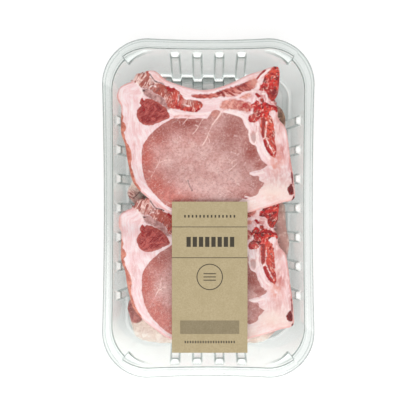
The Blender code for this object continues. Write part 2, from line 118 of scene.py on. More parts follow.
# Regions of an upper chop's cut face, each one or more outlines in its own frame
REGIONS = {
    "eye": (
        ((-43.5, -12), (-43.3, -7), (-42.3, -3), (-40.3, 0.2), (-37.3, 4), (-33, 8),
         (-28.5, 11.4), (-25, 13.4), (-22.5, 14.9), (-18, 14.9), (-14, 15), (-10, 14.5),
         (-6, 14.9), (-1.5, 14.8), (1.5, 15), (3.4, 17.6), (5.2, 20.2), (8, 21), (9.8, 20.2),
         (11.5, 18.6), (13.6, 18.9), (17, 17.9), (20, 17.1), (23.5, 16), (25.6, 14.3),
         (26.7, 11.5), (28.3, 8.4), (30.2, 5.5), (30.4, 2), (30.6, -0.5), (32.3, -2.7),
         (34.9, -4.1), (36, -7.5), (37.8, -11.5), (39.4, -14.2), (42.6, -16.6), (41.6, -18.6),
         (38.2, -20.3), (34, -21.4), (30.6, -22.7), (33, -24.6), (36.6, -25.1), (37.4, -28),
         (40.8, -29.9), (39.2, -32), (37.2, -34), (36.2, -37), (33.8, -38.6), (31, -39.2),
         (27.5, -38.6), (25, -41), (18, -45.5), (8, -49), (-4, -50.4), (-14, -49), (-22, -47),
         (-27, -44.3), (-31, -40.8), (-35.5, -36), (-39.2, -31), (-41.7, -25), (-43.2, -18.5)),
    ),
    "cap": (
        ((-46.9, 17.5), (-46.4, 20.5), (-45, 22.5), (-43.9, 23.6), (-44.9, 25.4),
         (-44.3, 27.6), (-43.2, 29), (-41.8, 27.4), (-40.5, 28.6), (-37.5, 28.3), (-34, 26.8),
         (-30.5, 24.9), (-28, 23), (-26, 20.4), (-24.6, 18), (-24, 16.2), (-25, 14.8),
         (-28, 13.6), (-31.5, 12), (-35, 10.6), (-38.5, 10), (-41.5, 10.2), (-44.3, 11.9),
         (-46, 14.5)),
    ),
    "rib": (
        ((-52, 42.8), (-49.5, 48), (-44, 49), (-39, 50.5), (-38.2, 45.7), (-34.2, 40.4),
         (-30.5, 39.2), (-27.5, 37.4), (-24.8, 36.2), (-21.5, 35.4), (-18.4, 34), (-16, 31.4),
         (-14.6, 28.8), (-12.6, 27.6), (-10, 27.8), (-6, 27.4), (-3, 26.4), (-1.2, 24.6),
         (-2.4, 22.2), (-4.4, 20.2), (-6.5, 19.2), (-10, 19.4), (-15, 20.2), (-19, 21.1),
         (-23, 21.8), (-25.5, 23.3), (-26.6, 26), (-28.5, 28.8), (-32, 30.8), (-35.5, 33),
         (-38, 35), (-41, 35.8), (-44, 36), (-46.4, 38), (-49.5, 40.6)),
    ),
    "chine": (
        ((44.4, 48.2), (46.6, 50.4), (48, 54), (55, 54), (55, 30), (48.6, 28.2), (46.3, 27.2),
         (43.8, 29.4), (42.8, 32), (41, 33.8), (37.2, 34.6), (37.8, 37.2), (39.8, 39.4),
         (40.2, 42.4), (42, 45.4)),
        ((34.2, 26.2), (35.6, 27.6), (38, 25.4), (41, 26.2), (44, 25.2), (47, 23.8),
         (52, 22.2), (53, 19.6), (49.6, 19), (47.6, 20.6), (45.6, 20.4), (44, 18.4),
         (42.6, 15.4), (38.6, 15.4), (36.6, 13.4), (34, 11.8), (31.4, 12), (29.8, 14.2),
         (30.6, 16.6), (33, 18.6), (33.2, 21), (31, 22.8), (32.6, 24.6)),
    ),
    "marrow": (
        ((38.5, 15.8), (41, 17.8), (44, 17.6), (46.8, 14.4), (47.6, 9), (47.8, 5), (48.2, 0),
         (48.8, -4.5), (49.2, -8), (48.3, -12), (46.5, -11.6), (44.8, -9.8), (42.6, -7.4),
         (41, -4), (40.2, -0.6), (39.2, 2.2), (38.2, 6), (38.2, 11)),
    ),
    "strip": (
        ((-9, 30.4), (-4, 31.6), (2, 31.4), (7, 32.2), (8.6, 33.2), (14, 35), (19.7, 36.7),
         (25, 38.6), (30, 40.4), (32, 41.7), (35.8, 41.8), (35.6, 38.8), (33, 35),
         (27.5, 33.2), (23.2, 31), (18.9, 30), (14.2, 29.8), (8.6, 29.2), (0, 28.4),
         (-4.5, 28.6)),
    ),
    "peach": (
        ((23.8, 29), (26, 31), (29, 32.2), (32, 31.9), (32.6, 29.8), (30, 28.6), (26, 28.3)),
        ((10.3, 22.6), (11, 25.5), (13.5, 27.4), (18, 27.9), (23, 27.6), (28, 26.4),
         (31.6, 24.6), (32.6, 21.4), (30, 18.8), (25.5, 19.4), (20, 20.4), (16, 21),
         (12.5, 21)),
        ((-22, 16.2), (-16, 17.2), (-9, 17), (-9, 16.2), (-16, 16.1), (-21, 15.4)),
        ((31.4, 4), (33, 6), (35, 4), (35.4, 0), (34.4, -2.4), (32.4, -0.6)),
    ),
    "band": (
        ((-42, 34.8), (-38, 34.2), (-34.5, 31.8), (-30, 29.6), (-27, 26.2), (-25.5, 23.4),
         (-24.6, 21.8), (-26.5, 21.4), (-29, 23.6), (-32, 26), (-36, 28.2), (-39, 29.6),
         (-42, 32), (-43, 34)),
    ),
    "rind": (
        ((-62, 20), (-58, 19.5), (-56.6, 17.5), (-55.9, 15.5), (-56.6, 13), (-55, 11.2),
         (-54.2, 9), (-54.5, 6.8), (-55.8, 5.2), (-54.9, 3.6), (-54.8, 1.5), (-53.6, -1.5),
         (-51.7, -5), (-50.6, -8.5), (-50.2, -12), (-50.6, -15.5), (-50.5, -18.5),
         (-49.4, -21.5), (-48.4, -25), (-46.4, -30), (-43.6, -34), (-45, -37), (-50, -34),
         (-60, -15), (-64, 5)),
    ),
    "clot": (
        ((43.4, 30), (45.4, 31.6), (46.6, 30.4), (49, 31), (50, 29.6), (48.6, 27.6),
         (46.2, 26.4), (44.6, 27.8)),
        ((37.6, 28.2), (40, 28.6), (40.9, 26.6), (39.6, 25), (38.2, 26)),
        ((56.2, -33.6), (57.2, -31.4), (59.4, -30), (60.2, -33.6), (60.4, -36.6),
         (58.4, -38), (56.6, -36.6)),
        ((59.4, -41.3), (60.4, -38.4), (62, -41.4)),
    ),
}

# Lines on the cut face: half width, then the points that each follows
STROKES = {
    "vein": (
        (0.22, (-2, -3.8), (-0.7, -2.1), (1.2, 1.2), (2.6, 4.9), (4.4, 9.2), (5.2, 11)),
        (0.36, (4.9, 10.4), (7.4, 13.5), (9.6, 16.4), (11.2, 19.4), (12.1, 21)),
        (0.2, (-8.7, 4), (-5.9, 6.9), (-3.1, 11.6), (-0.7, 15.4)),
        (0.22, (-15.4, 10.6), (-13.4, 13), (-11.7, 15.4)),
        (0.15, (-4.8, 9), (-6.5, 10.5)),
        (0.12, (1.6, 2), (3, 0.2), (3.2, -2)),
        (0.12, (3.4, 6.4), (6, 5.5)),
        (0.12, (-35.5, -12.2), (-31.6, -15.1), (-27.6, -17.4)),
        (0.1, (-36.8, -25.6), (-33.8, -20.1), (-31.3, -15.8), (-27, -14.1), (-23.6, -13.7)),
        (0.1, (-30, -10.8), (-31.6, -15.1), (-33.6, -19.4)),
        (0.1, (-36, -16), (-31.6, -15.1), (-27, -14)),
        (0.2, (14.5, -34.8), (17, -35.8), (19, -37.2)),
        (0.2, (16.5, -12.8), (18.3, -15), (18.8, -18)),
        (0.18, (18.3, -15), (21.6, -13.6)),
        (0.18, (22, -16), (19, -19), (16, -21.4)),
    ),
    "white": (
        (0.5, (36.4, 12), (36.2, 6), (36.8, 1), (38.4, -4), (40.8, -8.8), (44.4, -13)),
        (0.4, (31, 7), (30.4, 3.4), (31.8, -1.6), (34, -2.8), (35.6, 0.6), (35.4, 4.4)),
        (0.35, (36.4, -5), (38.8, -10.4), (42.4, -15)),
        (0.3, (42.2, 13), (41.9, 6), (41.3, 2), (40, 0.6)),
        (0.3, (41.6, 2), (43, -1), (45, -5), (47.4, -9.4)),
        (0.7, (-47, 39), (-44.5, 35.6), (-43, 31.5), (-45, 29)),
        (0.5, (-37.6, 43.8), (-36, 41.4), (-34.4, 39.4)),
        (0.3, (-34, 36.8), (-36.6, 37.4), (-38.4, 36)),
        (0.3, (-18.4, 31), (-18.2, 28.4), (-18.6, 26.6)),
        (0.3, (-14.6, 24.4), (-11, 23.2)),
        (0.3, (-10, 26), (-9.6, 24)),
        (0.7, (13.5, 19.6), (18, 18.8), (22.4, 17.4), (26.6, 15.2), (28.6, 12), (29.8, 9)),
        (0.5, (-23, 21), (-22, 18.4), (-18, 18.2), (-8, 17.8), (2, 18)),
        (0.35, (21.8, 29), (27, 32), (33, 33.2), (36, 32.6)),
        (0.35, (35.2, 35.4), (36.6, 33.6), (38.6, 32), (41.6, 31.4), (43, 28), (46.6, 25.6)),
        (0.8, (31, -23.2), (35, -23.2), (40, -22)),
        (0.7, (36.6, 41), (38.2, 43.8), (41, 46.2), (44.4, 48.6)),
        (0.7, (36.4, 38.6), (37, 35.8)),
    ),
    "blood": (
        (1.0, (-25.2, 35.8), (-23.6, 34.4), (-21.6, 35)),
        (0.55, (35.8, 42), (38, 45), (41.4, 47.8)),
        (0.9, (35.2, 31.6), (37, 30)),
        (0.75, (40.9, -0.8), (42, -4), (43.5, -7.4), (45.6, -10)),
        (0.45, (-43.4, 27.8), (-41.6, 26.4)),
        (0.35, (-44, 24.6), (-42.4, 23)),
        (0.3, (-43.2, 21.6), (-41.6, 20.6)),
        (0.7, (-19.4, 23.2), (-17.2, 22.2)),
        (0.6, (-4, 21.4), (-6, 19.8)),
        (0.7, (41.4, 24), (46, 23.6), (50.6, 21.4)),
        (0.5, (30.6, 15.4), (31.2, 12.8), (33.6, 12.6)),
        (0.4, (59.3, -22.4), (59.7, -27), (59.9, -31)),
        (0.4, (26, -39.8), (28.4, -40)),
        (0.5, (44.8, 45.8), (47.6, 45)),
        (0.5, (49.6, 42.6), (50.8, 41)),
    ),
    "sinew": (
        (0.95, (40.2, 15), (40.1, 8), (39.8, 2.8)),
    ),
    "crack": (
        (0.4, (-38, 45.6), (-36, 42.6), (-33.8, 40.2), (-30.6, 39.4), (-28.4, 38.4)),
        (0.5, (-42.4, 34), (-41.4, 33.8)),
        (0.32, (-11.6, -27.6), (-10.6, -31), (-8.6, -35)),
    ),
}
EDGE_LIMIT = 6.0                # the distances kept on a chop are cut off here, in mm

# Soft patches of colour: middle, half widths and strength, on an upper chop's face
UPPER_PATCHES = {
    "browned": ((-12, 12, 15, 6, 1.0), (20, 8, 9, 10, 0.75), (32, -8, 7, 9, 1.0),
                (35, -31, 7, 9, 0.6), (38, -17, 6, 3, 0.9), (28, -38, 6, 3, 0.75),
                (-30, 7, 9, 6, 0.7)),
    "flushed": ((-42, -12, 8, 21, 1.0), (-33, -33, 10, 10, 0.9), (-17, -45, 14, 6, 1.0),
                (-24, -40, 9, 7, 0.45), (-34, 2, 10, 8, 0.8), (6, -49, 16, 4, 0.65),
                (-22, 9, 9, 6, 0.6), (-10, 3, 14, 6, 0.35), (27, 23.5, 5, 4, 1.0),
                (31, 21, 4, 4, 1.0)),
    "greyed": ((14, -2, 10, 9, 0.9), (20, 8, 8, 8, 0.7), (32, -8, 6, 8, 0.4),
               (22, -12, 8, 9, 0.7), (0, -10, 12, 6, 0.4), (-20, -18, 6, 8, 0.3),
               (10, -38, 10, 4, 0.4), (33.5, 1.5, 3, 4, 1.0)),
    "salmon": ((6.6, 18.4, 3.2, 3.4, 1.0),),
    "coral": ((-24, -40, 10, 8, 0.6), (-35, -29, 6, 9, 0.45), (-40, -12, 5, 9, 0.3)),
    "creamy": ((46, -36, 12, 7, 0.9), (54, -36, 8, 9, 0.7), (30, -45, 12, 5, 0.7),
               (48, 2, 3, 10, 0.4)),
    "dark_strip": ((24.5, 36.6, 7, 3, 0.7), (11, 33, 4, 2, 0.6), (0, 29, 10, 1, 0.4)),
    "hatched": ((17, 31, 7, 1.6, 0.9), (24, 33.6, 4, 1.4, 0.5)),
    "rosy": ((59, -8, 2.2, 24, 0.9), (50, -26, 8, 6, 0.45), (52.3, -8, 3.2, 7, 1.0),
             (38, 30, 5, 4, 1.0), (44, 27, 7, 4, 1.0), (37, 10, 2.4, 9, 0.8),
             (50, 10, 3, 8, 0.7),
             (46.5, -3, 2, 4, 0.5), (-48.8, -7, 1.6, 8, 0.5)),
    "pale_bone": ((-43.5, 42, 8, 6, 1.0), (-37, 36.5, 3, 3, 0.5), (-12, 26, 4, 2, 0.5),
                  (-27, 28, 4, 3, 0.3)),
    "red_bone": ((-19, 27, 5, 7, 0.8), (-11, 20.8, 9, 1.8, 1.0), (-4.5, 23, 2.5, 4, 0.8),
                 (-38.5, 46, 2, 1.6, 1.0)),
    "orange_bone": ((45.5, 46.5, 4.5, 3.6, 0.9), (49, 39, 2, 3, 0.5), (44.5, 20.5, 3, 2, 0.6),
                    (44, 9, 4, 7, 0.8)),
    "dark_bone": ((47, 30.5, 4, 3.6, 1.0), (41.5, 35.5, 2.5, 1.6, 0.7),
                  (33, 19, 3.5, 2.6, 0.5)),
    "dull_bone": ((32, 16, 4, 4, 0.5),),
    "maroon": ((58.6, -34, 3, 5, 1.0), (60.8, -40, 2.4, 3, 1.0), (60, -27, 2, 8, 0.8)),
    "peached": ((33.6, 39.6, 3, 3.4, 1.0), (49.5, -13, 4.5, 10, 0.8), (47.6, -18, 2.6, 5, 0.8),
                (-59.5, 25, 1.6, 8, 0.9), (46, -40, 8, 3, 0.3), (-47, 41, 4, 2, 0.3),
                (-30, 43, 6, 3, 0.55), (52, 6, 3, 6, 0.35), (24, -47, 12, 3, 0.25)),
}
# The same on the chops below, in the part's own frame
UNDER_PATCHES = {
    "creamed": ((-54.5, 17.5, 6, 6.5, 1.0), (-52, 24, 4, 4, 0.9), (-56, 4.8, 3, 1.6, 0.9),
                (-44, -90, 14, 7, 1.0), (-15, -94, 26, 6, 1.0), (32, -93, 16, 6, 0.9),
                (57, 30, 3, 30, 0.3)),
    "beige": ((-40, -83, 15, 5.5, 1.0),),
    "meaty": ((-55.5, -69.6, 3.6, 4.6, 1.0), (-51, -76, 5.2, 5.0, 1.0)),
    "reddened": ((-53.5, 10, 4, 3.6, 1.0), (51, 0, 3, 8, 0.3)),
    # brown; its second patch is painted shade in the gap between the chops above
    "browned": ((51.5, 63, 5, 9, 1.0), (-37, 1.5, 5, 4, 1.0)),
    # grey painted shade where these chops lie in shadow
    "grey_painted_shade": ((-45, 9.4, 4.6, 3.6, 1.0), (54, 1, 4, 6, 0.5)),
}
UNDER_SPLIT = (0.4, (-46.6, 12.8), (-49.6, 10.0), (-52.6, 7.0))

# Swells to the left: reach, middle and half length along it, and where across it starts and ends
UNDER_SWELL = (1.6, 10.5, 5.0, -47.0, -54.0)
CHOP_A_SWELL = (1.2, 30.5, 4.5, -50.0, -59.0)
CHOP_B_SWELL = (0.4, 30.5, 4.5, -50.0, -59.0)
UPPER_PART = (0.3, 0.9)         # the shares of a chop's thickness over which its relief grows
UNDER_RELIEF = 0.2
UNDER_RELIEF_SIZE = 6.0
PATCH_FALLOFF = 0.8

# Relief of an upper chop's face: grooves round the regions, each with its depth and width
GROOVES = (("eye", 0.32, 0.9), ("cap", 0.3, 0.8), ("rib", 0.25, 0.8), ("chine", 0.25, 0.8),
           ("strip", 0.15, 0.6))
WAVE_HEIGHT = 0.22
LOIN_SWELL = 0.45
CAP_RISE = 0.25
BONE_SINK = 0.2
BONE_ROUGH = 0.28
BONE_GRAIN = 1.8
MEAT_ROUGH = 0.10
MEAT_GRAIN = 3.2
CRACK_DEPTH = 0.3
SINEW_RISE = 0.18
LINE_EDGE = (0.4, -0.3)
BONE_EDGE = (0.4, -0.6)

# Print on the label: middle, half widths and strength of the ink
LABEL_BARS = (
    (0.95, -12.8, 25.6, 0.24, 0.9),
    (0.95, -33.6, 25.6, 0.24, 0.9),
    (0.95, -44.4, 4.2, 0.35, 0.85),
    (0.95, -46.6, 4.2, 0.35, 0.85),
    (0.95, -48.8, 4.2, 0.35, 0.85),
    (0.95, -80.6, 20.0, 4.6, 0.42),
)
# Rows of even blocks: middle, half widths, pitch and the share of it that is filled
LABEL_ROWS = (
    (1.4, -22.9, 16.8, 3.4, 4.2, 0.7),
    (0.95, -5.6, 18.0, 0.9, 2.57, 0.42),
    (0.95, -90.6, 17.4, 0.8, 1.74, 0.5),
)
LABEL_RING = (0.95, -46.6, 8.6, 0.32)     # middle, radius and half the line's width
INK_SOFT = 0.08


# Small helpers

def srgb(red, green, blue):
    """A colour given as it shows on a screen, 0 to 255, as linear light."""
    def linear(value):
        share = value / 255.0
        return share / 12.92 if share <= 0.04045 else ((share + 0.055) / 1.055) ** 2.4
    return (linear(red), linear(green), linear(blue), 1.0)


def smooth_loop(points, steps, closed=True):
    """A smooth curve through the points, with so many steps between each two."""
    points = [Vector(point).to_2d() for point in points]
    count = len(points)
    spans = count if closed else count - 1
    curve = []
    for index in range(spans):
        if closed:
            before, start, end, after = (points[(index + k) % count] for k in (-1, 0, 1, 2))
        else:
            before, start, end, after = (points[min(max(index + k, 0), count - 1)]
                                         for k in (-1, 0, 1, 2))
        for step in range(steps):
            t = step / steps
            curve.append(0.5 * (2 * start + (end - before) * t
                                + (2 * before - 5 * start + 4 * end - after) * t ** 2
                                + (3 * start - before - 3 * end + after) * t ** 3))
    if not closed:
        curve.append(points[-1])
    return np.array([(point.x, point.y) for point in curve])


def smoothstep(start, end, value):
    """0 before start and 1 after end, eased between them."""
    share = np.clip((value - start) / (end - start), 0.0, 1.0)
    return share * share * (3.0 - 2.0 * share)


def line_distance(points, line, closed):
    """Distance of each point from a line, and the vector to its nearest place."""
    starts = line if closed else line[:-1]
    ends = np.roll(line, -1, axis=0) if closed else line[1:]
    best = np.full(len(points), np.inf)
    nearest = np.zeros_like(points)
    for start, end in zip(starts, ends):
        along = end - start
        share = np.clip((points - start) @ along / max(along @ along, 1e-12), 0.0, 1.0)
        place = start + share[:, None] * along
        distance = np.hypot(*(points - place).T)
        closer = distance < best
        best[closer] = distance[closer]
        nearest[closer] = place[closer]
    return best, nearest - points


def inside(points, outline):
    """Which points lie inside a closed outline."""
    crossings = np.zeros(len(points), dtype=int)
    x, y = points.T
    for (x0, y0), (x1, y1) in zip(outline, np.roll(outline, -1, axis=0)):
        if y0 == y1:
            continue
        spans = (y0 > y) != (y1 > y)
        crossings += spans & (x < (x1 - x0) * (y - y0) / (y1 - y0) + x0)
    return crossings % 2 == 1


def signed_distance(points, outline):
    """Distance from a closed outline, negative inside."""
    distance = line_distance(points, outline, True)[0]
    return np.where(inside(points, outline), -distance, distance)


def finish_mesh(name, mesh, slot, *nodes):
    """Link a mesh as a piece of the part, in place of CAD nodes."""
    piece = bpy.data.objects.new(name, mesh)
    bpy.context.scene.collection.objects.link(piece)
    for polygon in mesh.polygons:
        polygon.use_smooth = True
    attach(piece, "root")
    if nodes:
        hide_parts(*nodes)
    return piece


def mesh_from(mesh_data, name):
    """A bmesh in millimetres as a mesh in metres."""
    bmesh.ops.scale(mesh_data, vec=(MM, MM, MM), verts=mesh_data.verts)
    mesh = bpy.data.meshes.new(name)
    mesh_data.to_mesh(mesh)
    mesh_data.free()
    return mesh


# Tray

def wall_reach(height):
    """How far from the middle the long and the short walls lie at a height."""
    drop = (TRAY_HEIGHT - height) / TRAY_HEIGHT
    return (TRAY_WIDTH / 2 - FLANGE - DRAFT_LONG * drop,
            TRAY_LENGTH / 2 - FLANGE - DRAFT_SHORT * drop)


# Lanes of half a rib, from beside it to its front: shares of its flank and of its depth
RIB_LANES = ((1.4, 0.0), (1.0, 0.05), (0.7, 0.3), (0.3, 0.7), (0.0, 0.95), (-0.4, 1.0))
PANEL_LANES = 2
CORNER_LANES = 12

# Painted light in the sheet, 0 to 1: painted highlights where it is too thin to catch the lamps
# by itself
# partly the sheet's faint milkiness, partly painted light that lifts the shade on its walls
WALL_HAZE_AND_PAINTED_LIGHT = 0.05
RIGHT_PAINTED_LIGHT = 0.075              # painted light that the right side's walls have beyond that
RIGHT_TAB_HIGHLIGHTS = 0.3                # painted highlights on the tabs over the ribs, side by side
LEFT_TAB_HIGHLIGHTS = 0.12
SHORT_TAB_HIGHLIGHTS = 0.62
LEFT_PAINTED_SHADE = 0.1                 # painted shade: how much darker a long side's flange is, for how the light falls
RIGHT_PAINTED_SHADE = -0.1
PAINTED_SHADE_FADE = (0.0, 60.0)          # that fades out along the side between these
# A lug's end: degrees past its angle, the lug's share there and how dark its painted line is
LUG_END = ((-0.9, 0.0, 0.0), (-0.4, 0.12, 1.0), (0.4, 0.88, 1.0), (0.9, 1.0, 0.0))
# painted shade on the line across a lug's end
LUG_END_PAINTED_SHADE = 0.6
LUG_PAINTED_SHADE_SPAN = (0.24, 0.64)    # the lug's shares over which its painted dark lines come in
LUG_PAINTED_LIGHT_FULL = 1 / 3         # the share from which its painted light is full
LONG_PAINTED_LIGHT = 0.16              # how much of a row's painted light and painted shade a long side shows
LONG_PAINTED_SHADE = 0.3
CORNER_PAINTED_LIGHT = 0.18            # and how much a corner does
CORNER_PAINTED_SHADE = 0.2
TAB_HIGHLIGHT_NARROWING = 0.7             # how much less painted light a tab's sides have at its foot
# painted shade on a rib's flanks
FLANK_PAINTED_SHADE = 0.55
TAB_END = 1.25                  # the rows of a tab go this far down it
FOOT_TOP = 3.2
WALL_STEPS = 6


def side_lanes(long_side):
    """Lanes that run down one side: its middle rib, flank share and rib depth share."""
    ribs, pitch = (LONG_RIBS, LONG_PITCH) if long_side else (SHORT_RIBS, SHORT_PITCH)
    middles = [(number - (ribs - 1) / 2) * pitch for number in range(ribs)]
    end = INNER_CENTRE[1 if long_side else 0]
    lanes = [{"along": -end}]
    previous = -end
    for middle in middles:
        gap = middle - RIB_BASE_HALF - previous
        lanes += [{"along": previous + gap * (step + 1) / (PANEL_LANES + 2)}
                  for step in range(PANEL_LANES)]
        for flank, depth in RIB_LANES:
            lanes.append({"rib": middle, "side": -1, "flank": flank, "depth": depth})
        lanes.append({"rib": middle, "side": 0, "flank": 0.0, "depth": 1.0})
        for flank, depth in reversed(RIB_LANES):
            lanes.append({"rib": middle, "side": 1, "flank": flank, "depth": depth})
        previous = middle + RIB_BASE_HALF
    gap = end - previous
    lanes += [{"along": previous + gap * (step + 2) / (PANEL_LANES + 2)}
              for step in range(PANEL_LANES + 1)]
    return lanes


def corner_lanes():
    """Angles from the long wall, each with the lug's share there and whether it is its end."""
    lanes = [(LUG_ANGLE * step / CORNER_LANES, 0.0, 0.0) for step in range(1, CORNER_LANES)]
    lanes += [(LUG_ANGLE + offset, share, end) for offset, share, end in LUG_END]
    rest = 90.0 - LUG_ANGLE
    lanes += [(LUG_ANGLE + rest * step / CORNER_LANES, 1.0 - step / CORNER_LANES, 0.0)
              for step in range(1, CORNER_LANES)]
    return lanes


def tray_rows():
    """Rows from the skirt in to the floor: heights, inset, rib share, width share, lug, and the
    painted shade and painted highlights at the bends.
    """
    top = TRAY_HEIGHT
    rows = []
    # the skirt and flange, with painted shade lines along the skirt's and the rim's bends, faint
    # over the flange
    for inset, drop, dark in ((0.0, SKIRT, 0.5), (0.0, 1.0, 0.9), (0.05, 0.65, 1.0),
                              (0.25, 0.4, 0.7), (0.6, 0.3, 0.15), (1.5, 0.16, 0.08),
                              (2.0, 0.1, 0.3), (2.25, 0.0, 0.3), (2.5, 0.0, 0.08),
                              (4.0, 0.0, 0.08), (5.0, 0.0, 0.08), (5.3, 0.12, 0.2),
                              (5.6, 0.12, 0.2), (5.9, 0.0, 0.08), (6.3, 0.0, 0.1),
                              (6.55, 0.05, 0.8), (6.8, 0.15, 1.0), (6.97, 0.45, 1.0)):
        rows.append({"z": (top - drop,) * 2, "flange": inset / FLANGE, "dark": dark})
    # the lug's step, with painted shade lines and a little painted light on its ledge
    for drop, lug, dark, bright in ((0.7, 1.0, 0.2, 0.0), (1.6, 0.97, 0.0, 0.0),
                                    (2.3, 0.93, 0.1, 0.0), (2.7, 0.85, 0.5, 0.0),
                                    (2.85, 0.66, 0.2, 0.06), (2.9, 0.0, 0.0, 0.1),
                                    (2.95, -0.6, 0.0, 0.1), (2.99, -0.78, 1.0, 0.0),
                                    (3.05, -0.9, 1.0, 0.0), (3.25, -0.98, 1.0, 0.0),
                                    (3.6, -1.0, 0.2, 0.0)):
        rows.append({"z": (top - drop,) * 2, "lug": lug, "lug_painted_shade": dark,
                     "lug_painted_light": bright})
    # the tabs over the ribs, with painted highlights on them and painted shade at their feet
    for share, rib, bright, dark in ((-0.1, 0.0, 0.0, 0.2), (0.0, 0.015, 0.2, 0.5),
                                     (0.1, 0.08, 0.4, 0.3), (0.35, 0.34, 0.7, 0.0),
                                     (0.65, 0.65, 1.0, 0.0), (0.8, 0.81, 0.9, 0.0),
                                     (0.87, 0.88, 0.2, 0.9), (0.95, 0.96, 0.0, 1.0),
                                     (1.0, 0.985, 0.0, 1.0), (1.1, 1.0, 0.0, 1.0),
                                     (TAB_END, 1.0, 0.0, 0.2)):
        heights = [tab[0] + (tab[1] - tab[0]) * share for tab in (LONG_TAB, SHORT_TAB)]
        rows.append({"z": heights, "rib": rib, "width": 0.0, "lug": min(0.95 * share - 0.95, 0.0),
                     "tab_share": max(share, 0.0), "tab_painted_light": bright, "tab_painted_shade": dark})
    tab_foot = [tab[0] + (tab[1] - tab[0]) * TAB_END for tab in (LONG_TAB, SHORT_TAB)]
    for step in range(1, WALL_STEPS):
        share = step / WALL_STEPS
        heights = [high + (FOOT_TOP - high) * share for high in tab_foot]
        rows.append({"z": heights, "rib": 1.0, "width": share})
    # the foot and the floor, with painted highlights along the foot and the raised floor's edge,
    # and painted shade along the moat
    for inset, height, bright, dark in (
            (0.0, FOOT_TOP, 0.0, 0.0), (0.08, 2.4, 0.0, 0.1), (0.2, 1.7, 0.1, 0.0),
            (0.5, 1.0, 1.0, 0.0), (0.85, 0.7, 0.9, 0.0), (1.2, SHEET, 0.0, 0.4),
            (1.9, SHEET, 0.0, 0.6), (2.4, SHEET, 0.0, 0.3), (3.8, SHEET, 0.0, 0.2),
            (4.4, SHEET, 0.0, 0.2), (4.65, 0.62, 0.1, 0.2), (4.85, 0.95, 0.3, 0.0),
            (5.0, 1.5, 0.4, 0.0), (5.15, 2.05, 0.3, 0.0), (5.4, 2.38, 0.2, 0.3),
            (5.8, 2.5, 0.0, 0.3), (6.6, 2.5, 0.0, 0.0), (9.5, 2.5, 0.0, 0.0)):
        rows.append({"z": (height,) * 2, "inset": inset, "rib": 1.0, "width": 1.0,
                     "bright": bright, "dark": dark})
    return rows


def side_place(lane, row, long_side):
    """A lane's place along its side, and how far out it lies, in one row."""
    axis = 0 if long_side else 1
    height = row["z"][axis]
    inner_end = INNER_CENTRE[1 - axis]
    outer_half = (TRAY_WIDTH, TRAY_LENGTH)[axis] / 2
    outer_end = (TRAY_LENGTH, TRAY_WIDTH)[axis] / 2 - OUTER_RADIUS
    width = row.get("width", 0.0)
    front = RIB_TIP_HALF + (RIB_FRONT_HALF - RIB_TIP_HALF) * width
    if "rib" in lane:
        flank = front + (RIB_BASE_HALF - front) * max(lane["flank"], 0.0)
        along = lane["rib"] + lane["side"] * (flank + min(lane["flank"], 0.0))
        depth = lane["depth"] * row.get("rib", 0.0) * RIB_DEPTH
    else:
        along = lane["along"]
        depth = 0.0
    share = along / inner_end
    reach = wall_reach(min(height, TRAY_HEIGHT))[axis] - INNER_BOW * (1 - share ** 2)
    if "flange" in row:
        outer = outer_half - OUTER_BOW * (1 - share ** 2)
        rim = wall_reach(TRAY_HEIGHT)[axis] - INNER_BOW * (1 - share ** 2)
        blend = row["flange"]
        return (share * outer_end * (1 - blend) + along * blend,
                outer * (1 - blend) + rim * blend)
    return along, reach - depth - row.get("inset", 0.0)


def corner_place(angle, lug, row):
    """A corner lane's place in one row, in the +X +Y quarter."""
    turn = math.radians(angle)
    share = angle / 90.0
    height = row["z"][0] * (1 - share) + row["z"][1] * share
    push = row.get("lug", 1.0 if "flange" in row else 0.0) * lug * LUG_REACH
    half_x = wall_reach(row["z"][0])[0] * (1 - share) + wall_reach(row["z"][1])[0] * share
    half_y = wall_reach(row["z"][0])[1] * (1 - share) + wall_reach(row["z"][1])[1] * share
    inset = row.get("inset", 0.0)
    if "flange" in row:
        blend = row["flange"]
        half_x, half_y = wall_reach(TRAY_HEIGHT)
        rim_x = INNER_CENTRE[0] + (half_x - INNER_CENTRE[0] + push) * math.cos(turn)
        rim_y = INNER_CENTRE[1] + (half_y - INNER_CENTRE[1] + push) * math.sin(turn)
        outer_x = TRAY_WIDTH / 2 - OUTER_RADIUS + OUTER_RADIUS * math.cos(turn)
        outer_y = TRAY_LENGTH / 2 - OUTER_RADIUS + OUTER_RADIUS * math.sin(turn)
        return (outer_x * (1 - blend) + rim_x * blend,
                outer_y * (1 - blend) + rim_y * blend, height)
    return (INNER_CENTRE[0] + (half_x - INNER_CENTRE[0] + push - inset) * math.cos(turn),
            INNER_CENTRE[1] + (half_y - INNER_CENTRE[1] + push - inset) * math.sin(turn), height)


def tray_ring(row):
    """A whole row, anticlockwise from the lower end of the +X side."""
    long_side = [side_place(lane, row, True) for lane in side_lanes(True)]
    short_side = [side_place(lane, row, False) for lane in side_lanes(False)]
    corner = [corner_place(angle, lug, row) for angle, lug, end in corner_lanes()]
    z_long, z_short = row["z"]
    ring = [(reach, along, z_long) for along, reach in long_side]
    ring += corner
    ring += [(-along, reach, z_short) for along, reach in short_side]
    ring += [(-x, y, z) for x, y, z in reversed(corner)]
    ring += [(-reach, -along, z_long) for along, reach in long_side]
    ring += [(-x, -y, z) for x, y, z in corner]
    ring += [(along, -reach, z_short) for along, reach in short_side]
    ring += [(x, -y, z) for x, y, z in reversed(corner)]
    return ring


def row_haze_and_painted_light(row):
    """The sheet's faint milkiness where its walls are drawn thin, partly real and partly painted
    light that lifts the shade on them.
    """
    return 0.0 if "flange" in row or "inset" in row else WALL_HAZE_AND_PAINTED_LIGHT


